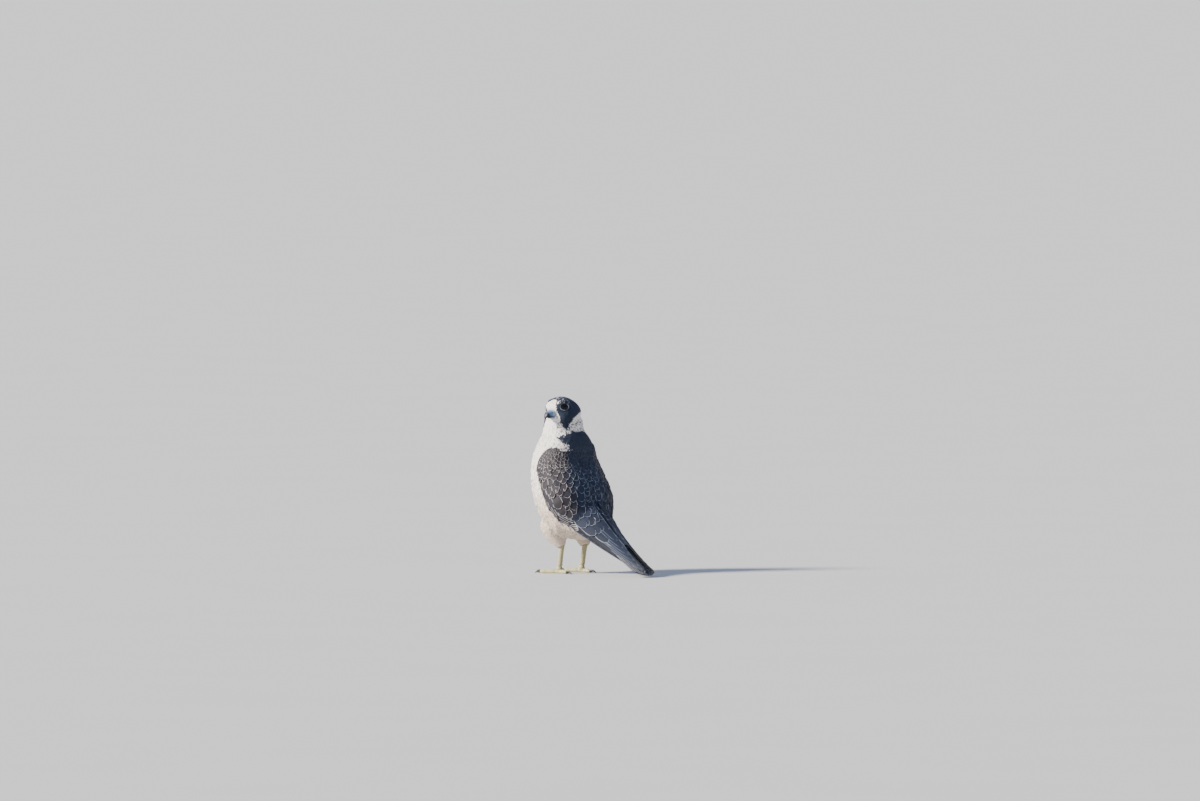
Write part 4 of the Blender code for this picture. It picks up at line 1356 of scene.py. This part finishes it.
def polished(nodes, name, voxel, smoothing, material, swell=0.0):
    """A smooth copy of hard CAD nodes that takes their place."""
    mesh = remeshed(nodes, voxel, swell, smoothing)
    surface = Surface(mesh)
    local = head_local(surface.points)
    height = surface.points[:, 2]
    share = (height - height.min()) / (height.max() - height.min())
    tone = stacked(local[:, 0], local[:, 2], share)
    made = make_object(name, surface.points, surface.corners, material, dict(tone=tone))
    bpy.data.meshes.remove(mesh)
    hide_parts(*nodes)
    return made


# Bill and cere, with the CAD's sizes, in the head's axes
CERE_FRONT, BILL_TIP = 34.5, 48.5
BILL_HALF_WIDTH, BILL_TOP_UP, BILL_TIP_UP = 8.6, 6.5, -9.8
BILL_DEPTH, BILL_HOOK = 10.8, 88.0
TOOTH_PLACE, TOOTH_DROP = 0.50, 1.0  # the falcon's tooth on the cutting edge: share of the bill, millimetres
NOTCH_PLACE, NOTCH_RISE = 0.60, 0.5  # the notch before it
CERE_UP = 0.6  # its middle
# Cere: forward, half width, height above its middle and depth below it
CERE_SECTIONS = (
    (17.0, 8.2, 6.6, 4.6), (22.0, 9.0, 6.8, 5.0), (28.0, 9.5, 6.7, 5.4), (31.0, 9.2, 6.6, 5.4),
    (33.6, 8.7, 6.3, 5.4), (34.9, 8.3, 5.9, 5.3), (35.3, 7.9, 5.5, 5.0),
)
LOWER_TOP, LOWER_DEPTH = 1.7, 2.6
# Lower bill: forward, up, half width, share of its full height
LOWER_SECTIONS = (
    (17.0, -7.0, 6.6, 0.8), (22.0, -7.1, 7.2, 0.9), (30.0, -7.1, 7.2, 1.05), (35.0, -6.8, 6.3, 1.05),
    (39.0, -6.1, 4.7, 1.0), (41.0, -5.8, 2.9, 0.75), (41.9, -5.6, 1.2, 0.35),
)
MOUTH_UP, MOUTH_HALF_HEIGHT = -5.0, 1.1


def bill_ring(forward, up, half_width, top, bottom, lean, mouth, sides=40):
    """A section of the bill, leaning forward by an angle, squarer on the mouth's side: 1 above, -1 below."""
    turn = math.tau * (np.arange(sides) + 0.5) / sides
    side, high = np.cos(turn), np.sin(turn)
    square = high * mouth > 0
    reach = np.where(square, (side ** 4 + high ** 4) ** -0.25, 1.0)
    side, high = side * reach, high * reach
    tall = np.where(high > 0, top, bottom) * high
    return np.stack([forward + math.sin(lean) * tall, side * half_width, up + math.cos(lean) * tall], -1)


def upper_ring(u):
    """A section of the hooked upper bill at u from 0 at the cere to 1 at its tip."""
    hook = math.radians(BILL_HOOK) * u
    reach = (BILL_TIP - CERE_FRONT) / math.sin(math.radians(BILL_HOOK))
    forward = CERE_FRONT + reach * math.sin(hook)
    up = BILL_TIP_UP + (BILL_TOP_UP - BILL_TIP_UP) * math.cos(hook)
    half_drop = (BILL_DEPTH * (1 - u) ** 0.8 + 0.6) / 2
    half_width = BILL_HALF_WIDTH * 0.93 * (1 - u) ** 0.62 + 0.55
    lean = hook * 0.62
    forward -= math.sin(lean) * half_drop
    up -= math.cos(lean) * half_drop
    tooth = TOOTH_DROP * math.exp(-((u - TOOTH_PLACE) / 0.045) ** 2)
    notch = NOTCH_RISE * math.exp(-((u - NOTCH_PLACE) / 0.04) ** 2)
    return bill_ring(forward, up, half_width, half_drop, half_drop + (tooth - notch), lean, -1)


def head_piece(name, rings, material, slot, *nodes):
    """A closed tube through rings given in the head's axes, riding as one piece."""
    points, faces = tube(np.stack(rings))
    tone = stacked(points[:, 0], points[:, 2], np.abs(points[:, 1]))
    places = from_head(points)
    faces = faced_out(places, faces, places.mean(0))
    made = make_object(name, places, faces, material, dict(tone=tone))
    if nodes:
        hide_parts(*nodes)
    return keep(made)


def make_gape(word, sign):
    """The soft corner of the mouth on one side, sinking into the lores."""
    share = spread(0, 1, 24)
    path = curve(GAPE, share) * (1, sign, 1)
    on = head_local(guide.nearest(from_head(path))[0])
    sunk = share[:, None] ** 0.5
    path = path * (1 - sunk) + on * sunk
    turn = round_turn(12)
    radii = 0.2 + 0.6 * np.sin(math.pi * spread(0.1, 1.0, 24))
    rings = [place + stacked(0.0, r * np.cos(turn), r * 0.8 * np.sin(turn)) for place, r in zip(path, radii)]
    head_piece(f"gape_{word}", rings, gape_material, "cere")


def make_bill():
    """Upper and lower bill, cere, the mouth's lining, near-black as painted shade in the gap between the
    bills, and the mouth's soft corners. Returns the cere.
    """
    rows = curve(CERE_SECTIONS, spread(0, 1, 36))
    rings = [bill_ring(f, CERE_UP, wide, top, bottom, 0.0, -1) for f, wide, top, bottom in rows]
    cere = head_piece("cere_skin", rings, cere_material, "cere", "cere")
    rings = [upper_ring(u) for u in spread(-0.02, 0.985, 60).clip(0)]
    rings[0] = rings[1] - np.array((1.5, 0, 0))
    head_piece("beak_upper", rings, bill_material, "bill", "bill_upper")
    rows = curve(LOWER_SECTIONS, spread(0, 1, 40))
    rings = [bill_ring(f, up, wide, LOWER_TOP * h, LOWER_DEPTH * h, 0.0, 1) for f, up, wide, h in rows]
    head_piece("beak_lower", rings, bill_material, "bill", "bill_lower")
    rows = zip(spread(18, 40.5, 16), spread(7.2, 1.0, 16))
    rings = [bill_ring(f, MOUTH_UP, wide, MOUTH_HALF_HEIGHT, MOUTH_HALF_HEIGHT, 0.0, 1) for f, wide in rows]
    head_piece("mouth", rings, mouth_shade_material, "bill")
    for word, sign in SIDES:
        make_gape(word, sign)
    return cere


def make_nostrils(cere):
    """A round nostril with its tubercle on each side of the cere."""
    surface = Surface(cere.data)
    made = []
    for word, sign in SIDES:
        start = from_head(np.array([NOSTRIL_PLACE]) * (1, sign, 1))
        where, normals, _ = surface.hit(start, -sign * HEAD_AXES[1][None])
        centre, axis = where[0], normals[0]
        along = unit(np.cross(axis, (0.0, 0.0, 1.0)))
        turn = round_turn(32)
        radial = spokes(turn, along, np.cross(along, axis))
        reach, height = np.array(NOSTRIL_PROFILE).T[..., None]
        points = centre + radial * reach[..., None] + axis * height[..., None]
        tone = stacked(reach, turn, height)
        made.append(grid_object(f"nostril_{word}", points, tone, nostril_material))
    return made


# ---- materials ----
SHAFT = (0.012, 0.012, 0.016)
BARS = 92.0  # pale bars along a flight feather, in radians of their wave
HORN_PALE, HORN_DARK = (0.11, 0.18, 0.31), (0.008, 0.010, 0.015)
PUPIL, EYE_RIM = (0.002, 0.002, 0.003), (0.006, 0.006, 0.008)
IRIS = ((0.003, 0.002, 0.0015), (0.009, 0.005, 0.0035))
# dark of the lid's edge and beside the feathers, also used as painted shade under the brow
RING_EDGE_AND_SHADE = (0.020, 0.025, 0.038)
RING_PALE = ((0.28, 0.35, 0.45), (0.46, 0.53, 0.61))
# the hole's colour is painted shade
NOSTRIL_RIM, NOSTRIL_HOLE_SHADE = ((0.22, 0.30, 0.36), (0.34, 0.41, 0.42)), (0.015, 0.017, 0.02)
FOOT_SKIN, FOOT_SEAM = ((0.34, 0.33, 0.17), (0.52, 0.48, 0.25)), (0.19, 0.18, 0.10)
FLOOR = ((0.43, 0.43, 0.425), (0.46, 0.46, 0.455))


class Nodes:
    """A small helper to write a node material line by line."""

    def __init__(self, name, roughness, **shader):
        self.material = bpy.data.materials.new(name)
        self.material.use_nodes = True
        self.tree = self.material.node_tree
        self.shader = self.tree.nodes["Principled BSDF"]
        self.shader.inputs["Roughness"].default_value = roughness
        for label, value in shader.items():
            self.shader.inputs[label.replace("_", " ")].default_value = value

    def add(self, kind, inputs=(), **settings):
        made = self.tree.nodes.new(kind)
        for label, value in settings.items():
            setattr(made, label, value)
        for label, value in dict(inputs).items():
            self.plug(made.inputs[label], value)
        return made

    def plug(self, socket, value):
        if isinstance(value, bpy.types.NodeSocket):
            self.tree.links.new(value, socket)
        elif isinstance(value, tuple) and len(value) == 3 and socket.type == "RGBA":
            socket.default_value = (*value, 1.0)
        else:
            socket.default_value = value

    def parts(self, attribute):
        """The three numbers of a vector attribute."""
        source = self.add("ShaderNodeAttribute", attribute_name=attribute)
        split = self.add("ShaderNodeSeparateXYZ", {"Vector": source.outputs["Vector"]})
        return split.outputs[0], split.outputs[1], split.outputs[2]

    def maths(self, operation, a, b=0.0, clamp=False):
        return self.add("ShaderNodeMath", {0: a, 1: b}, operation=operation, use_clamp=clamp).outputs[0]

    def times(self, first, *others):
        for other in others:
            first = self.maths("MULTIPLY", first, other)
        return first

    def plus(self, first, *others):
        for other in others:
            first = self.maths("ADD", first, other)
        return first

    def minus(self, a, b):
        return self.maths("SUBTRACT", a, b)

    def ramp(self, value, low, high):
        """0 at low, 1 at high, smooth between them; low may be above high."""
        ends = (low, high, 0.0, 1.0) if low < high else (high, low, 1.0, 0.0)
        inputs = dict(enumerate((value, *ends)))
        return self.add("ShaderNodeMapRange", inputs, interpolation_type="SMOOTHSTEP").outputs[0]

    def blend(self, share, a, b):
        return self.add("ShaderNodeMix", {0: share, 6: a, 7: b}, data_type="RGBA").outputs[2]

    def scaled(self, colour, value):
        """A colour times a number."""
        return self.add("ShaderNodeVectorMath", {0: colour, 3: value}, operation="SCALE").outputs[0]

    def place(self):
        return self.add("ShaderNodeTexCoord").outputs["Object"]

    def noise(self, scale, detail=2.0):
        inputs = {"Vector": self.place(), "Scale": scale, "Detail": detail}
        return self.add("ShaderNodeTexNoise", inputs).outputs[0]

    def finish(self, colour, bump=None, strength=0.3, distance=0.0002):
        self.plug(self.shader.inputs["Base Color"], colour)
        if bump is not None:
            made = self.add("ShaderNodeBump", {"Height": bump, "Strength": strength, "Distance": distance})
            self.plug(self.shader.inputs["Normal"], made.outputs[0])
        return self.material


def plumage(name, bars=False, painted_shade=1.0):
    """Feathers: pale or dark webs, a pale fringe, shaft and barbs and, on flight feathers, pale bars; a
    painted_shade below 1 darkens all of it as painted shade.
    """
    n = Nodes(name, 0.7, Sheen_Weight=0.04, Sheen_Roughness=0.5, Specular_IOR_Level=0.22)
    across, along, rim = n.parts("vane")
    dark, warm, fringe = n.parts("pigment")
    streak, random, buff = n.parts("mark")
    off = n.maths("ABSOLUTE", across)
    blotch = n.noise(420.0, 3.0)
    # a pale web, with a dark drop along the shaft
    drop = n.plus(0.18, n.times(along, along, 0.62))
    drop = n.maths("MULTIPLY", n.minus(drop, off), 3.0, clamp=True)
    drop = n.times(drop, n.ramp(along, 0.4, 0.6), n.ramp(along, 1.0, 0.88))
    pale = n.blend(n.times(drop, streak), n.blend(buff, CREAM, BUFF), STREAK)
    # a web of slate with painted blue shade, or of brown, each feather a little lighter or darker than the
    # next
    lighter = n.plus(0.72, n.times(random, 0.4), n.times(blotch, 0.35))
    web = n.scaled(n.blend(warm, SLATE_WITH_SKY_SHADE, BROWN), lighter)
    if bars:
        wave = n.maths("SINE", n.times(n.plus(along, n.times(off, 0.012)), BARS))
        inside = n.times(n.ramp(off, 0.12, 0.3), n.ramp(off, 0.95, 0.7))
        web = n.blend(n.times(n.ramp(wave, 0.5, 0.9), inside, streak, 0.35), web, BUFF)
    colour = n.blend(dark, pale, web)
    # the fringe is ragged, and on body feathers weaker away from the tip
    worn = n.plus(rim, n.times(n.minus(blotch, 0.5), 0.9))
    tip = 1.0 if bars else n.plus(0.6, n.times(n.ramp(along, 0.68, 0.92), 0.4))
    # fringes with little warm take the painted blue shade
    edge = n.blend(warm, FRINGE_WITH_SKY_SHADE, WARM_FRINGE)
    colour = n.blend(n.times(n.ramp(worn, 1.0, 0.55), fringe, tip), colour, edge)
    colour = n.blend(n.times(n.ramp(off, 0.07, 0.02), n.times(dark, 0.35)), colour, SHAFT)
    barb = n.maths("SINE", n.plus(n.times(along, 150.0), n.times(off, 40.0)))
    # a painted_shade below 1 darkens the whole colour
    colour = n.scaled(colour, n.times(n.plus(0.96, n.times(barb, 0.04)), painted_shade))
    return n.finish(colour, n.plus(n.times(barb, 0.3), blotch), 0.15, 0.0003)


def bare_skin(name, low, high, roughness, scale, **shader):
    """Bare skin or horn: two close colours in a fine mottle, with a bump."""
    n = Nodes(name, roughness, **shader)
    spots = n.noise(scale, 4.0)
    return n.finish(n.blend(n.ramp(spots, 0.35, 0.65), low, high), spots, 0.35)


def make_bill_material():
    """Horn that runs from blue-grey at the cere to black at the tip, with faint growth lines."""
    n = Nodes("bill_horn", 0.42, Specular_IOR_Level=0.35)
    forward, up, _ = n.parts("tone")
    spots = n.noise(260.0, 4.0)
    reach = n.plus(n.minus(forward, n.times(up, 0.55)), n.times(n.minus(spots, 0.5), 4.0))
    colour = n.blend(n.ramp(reach, 37.0, 44.5), HORN_PALE, HORN_DARK)
    growth = n.maths("SINE", n.times(reach, 5.0))
    return n.finish(colour, n.plus(spots, n.times(growth, 0.08)))


def make_eye_material():
    """A black pupil in a very dark brown iris with a black rim, under a wet cornea."""
    n = Nodes("eye_cornea", 0.12, Specular_IOR_Level=0.16)
    distance = n.parts("tone")[0]
    colour = n.blend(n.ramp(distance, 3.5, 3.9), PUPIL, n.blend(n.noise(900.0), *IRIS))
    return n.finish(n.blend(n.ramp(distance, 6.2, 6.9), colour, EYE_RIM))


def make_ring_material():
    """Pale skin round the eye: dark at the lid's edge and beside the feathers, and darkened over the eye as
    painted shade from the brow.
    """
    n = Nodes("eye_ring_skin", 0.5, Coat_Weight=0.1)
    share, high, along = n.parts("tone")
    # painted shade: the ring is darkened towards its top, where the brow shades it
    below = n.minus(1.0, n.times(n.ramp(high, 0.1, 0.75), 0.85))
    reach = n.plus(0.36, n.times(n.ramp(n.maths("ABSOLUTE", along), 0.75, 1.0), 0.12))
    outer = n.maths("MULTIPLY", n.minus(reach, share), 6.0, clamp=True)
    shown = n.times(below, n.ramp(share, 0.05, 0.14), outer)
    colour = n.blend(shown, RING_EDGE_AND_SHADE, n.blend(n.noise(700.0, 3.0), *RING_PALE))
    return n.finish(colour, n.noise(1600.0, 2.0), 0.6, 0.0004)


def make_nostril_material():
    """The cere's colour round a hole painted dark as the shade inside it, with a pale tubercle in its middle.
    """
    n = Nodes("nostril_skin", 0.5)
    distance = n.parts("tone")[0]
    spots = n.noise(700.0, 3.0)
    # painted shade: the shallow hole is coloured near-black
    inside = n.times(n.ramp(distance, 0.28, 0.40), n.ramp(distance, 1.06, 0.94))
    return n.finish(n.blend(inside, n.blend(spots, *NOSTRIL_RIM), NOSTRIL_HOLE_SHADE), spots)


def make_foot_material():
    """Yellowish scales with darker seams."""
    n = Nodes("foot_scales", 0.48, Coat_Weight=0.05)
    inputs = {"Vector": n.place(), "Scale": 620.0}
    cells = n.add("ShaderNodeTexVoronoi", inputs, feature="DISTANCE_TO_EDGE").outputs[0]
    seam = n.ramp(cells, 0.0, 0.09)
    return n.finish(n.blend(seam, FOOT_SEAM, n.blend(n.noise(240.0, 3.0), *FOOT_SKIN)), seam, 0.5, 0.0004)


def make_floor_material():
    n = Nodes("studio_floor", 0.85)
    return n.finish(n.blend(n.noise(3.0, 2.0), *FLOOR))


feather_material = plumage("plumage")
flight_material = plumage("flight_plumage", bars=True)
# the skin's down, and the plates' cores, drawn 15 % darker: painted shade under the feathers
skin_material = plumage("down", painted_shade=0.85)
bill_material = make_bill_material()
# near-black: painted shade in the gap between the closed bills
mouth_shade_material = bare_skin("mouth_lining_shade", (0.03, 0.018, 0.02), (0.05, 0.028, 0.03), 0.5, 300.0)
gape_material = bare_skin("gape_skin", (0.22, 0.27, 0.34), (0.33, 0.37, 0.44), 0.5, 420.0)
cere_material = bare_skin("cere_skin", (0.20, 0.29, 0.39), (0.30, 0.39, 0.46), 0.45, 420.0)
eye_material = make_eye_material()
ring_material = make_ring_material()
nostril_material = make_nostril_material()
foot_material = make_foot_material()
claw_material = bare_skin(
    "claw_horn", (0.010, 0.010, 0.012), (0.024, 0.023, 0.025), 0.42, 300.0, Specular_IOR_Level=0.3
)


# ---- the whole bird ----
TOES = ("hind", "inner", "middle", "outer")
LEG_VOXEL, LEG_SMOOTHING, LEG_SWELL = 0.8, 5, 0.35
CLAW_VOXEL, CLAW_SMOOTHING = 0.32, 2


def keep(pieces):
    """Makes a piece or a list of pieces ride on the bird."""
    for piece in pieces if isinstance(pieces, list) else [pieces]:
        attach(piece, "root")
    return pieces


def make_side(word, side):
    """Wing, eye and leg of one side."""
    keep(make_wing(word, side))
    keep(make_secondaries(word, side))
    keep(make_tertials(word, side))
    keep(make_primaries(word, side))
    sheet = functools.partial(on_primaries, side=side)
    v, w = spread(0.0, 0.96, 40), spread(0.08, 0.92, 12)
    keep(make_core(f"primary_core_{word}", sheet, v, w, f"primaries_{word}"))
    keep(make_eyeball(word))
    keep(make_ring(word))
    nodes = [f"foot_{word}", f"shank_{word}"]
    leg = polished(nodes, f"leg_{word}", LEG_VOXEL, LEG_SMOOTHING, foot_material, LEG_SWELL)
    keep(leg)
    for toe in TOES:
        nodes, name = [f"claw_{toe}_{word}"], f"talon_{toe}_{word}"
        keep(polished(nodes, name, CLAW_VOXEL, CLAW_SMOOTHING, claw_material))


def make_bird():
    keep(make_skin())
    keep(make_contour())
    for word, side in SIDES:
        make_side(word, side)
    keep(make_mantle())
    keep(make_rump())
    keep(make_tail())
    core = make_core("tail_core", on_tail, spread(0.0, 0.87, 30), spread(-0.82, 0.82, 16), "tail")
    keep(core)
    keep(make_nostrils(make_bill()))


# ---- floor, light and camera ----
FLOOR_HALF = 400000.0
HORIZON = (1.15, 1.08, 1.0)  # light from low down, as bright as the floor is there
SKY = (0.42, 0.52, 0.78)  # light from above
HORIZON_LOW, HORIZON_HIGH = 0.01, 0.30  # the first gives way to the second between these heights
KEY_STRENGTH, KEY_SOFTNESS = 12.0, 12.0
KEY_COLOUR = (1.0, 0.93, 0.84)
KEY_AZIMUTH, KEY_HEIGHT = 62.0, 32.0  # degrees; azimuth 0 is from -Y and 90 from +X
CAMERA_AZIMUTH, CAMERA_HEIGHT = 137.0, 2.5
CAMERA_DISTANCE = 25.33  # metres
CAMERA_LENS, CAMERA_SENSOR = 400.0, 36.0  # millimetres
CAMERA_NEAR, CAMERA_FAR = 0.5, 2000.0  # metres
PIXEL = 1.9  # millimetres at the bird
FRAME_RIGHT, FRAME_UP = 36.8 * PIXEL, 7.2 * PIXEL  # frame's middle from the left eye


def make_floor():
    half = FLOOR_HALF
    corners = np.array(((-half, -half, 0), (half, -half, 0), (half, half, 0), (-half, half, 0)))
    floor = make_object("floor", corners, np.array(((0, 1, 2, 3),)), make_floor_material())


def make_sky():
    """Soft light all round, warm at the horizon and blue above."""
    world = bpy.data.worlds.new("studio")
    bpy.context.scene.world = world
    world.use_nodes = True
    tree = world.node_tree
    way = tree.nodes.new("ShaderNodeTexCoord").outputs["Generated"]
    split = tree.nodes.new("ShaderNodeSeparateXYZ")
    tree.links.new(way, split.inputs[0])
    height = tree.nodes.new("ShaderNodeMapRange")
    height.interpolation_type = "SMOOTHSTEP"
    height.inputs["From Min"].default_value = HORIZON_LOW
    height.inputs["From Max"].default_value = HORIZON_HIGH
    tree.links.new(split.outputs[2], height.inputs["Value"])
    mix = tree.nodes.new("ShaderNodeMix")
    mix.data_type = "RGBA"
    mix.inputs[6].default_value = (*HORIZON, 1.0)
    mix.inputs[7].default_value = (*SKY, 1.0)
    tree.links.new(height.outputs["Result"], mix.inputs[0])
    tree.links.new(mix.outputs[2], tree.nodes["Background"].inputs["Color"])


def make_key():
    """The main lamp, from the left and above."""
    key = bpy.data.lights.new("key", "SUN")
    key.energy = KEY_STRENGTH
    key.angle = math.radians(KEY_SOFTNESS)
    key.color = KEY_COLOUR
    lamp = bpy.data.objects.new("key", key)
    bpy.context.scene.collection.objects.link(lamp)
    lamp.rotation_euler = (math.radians(90 - KEY_HEIGHT), 0.0, math.radians(KEY_AZIMUTH))


def make_camera():
    """The camera, whose frame keeps the bird where the photograph has it."""
    turn, tilt = math.radians(CAMERA_AZIMUTH), math.radians(CAMERA_HEIGHT)
    right = np.array((math.cos(turn), math.sin(turn), 0.0))
    back = np.array((math.sin(turn) * math.cos(tilt), -math.cos(turn) * math.cos(tilt), math.sin(tilt)))
    up = np.cross(back, right)
    target = EYES["left"] + right * FRAME_RIGHT + up * FRAME_UP
    data = bpy.data.cameras.new("camera")
    data.lens = CAMERA_LENS
    data.sensor_width = CAMERA_SENSOR
    data.clip_start, data.clip_end = CAMERA_NEAR, CAMERA_FAR
    camera = bpy.data.objects.new("camera", data)
    bpy.context.scene.collection.objects.link(camera)
    camera.location = target * MM + back * CAMERA_DISTANCE
    camera.rotation_euler = (math.pi / 2 - tilt, 0.0, turn)
    bpy.context.scene.camera = camera


make_bird()
make_floor()
make_sky()
make_key()
make_camera()
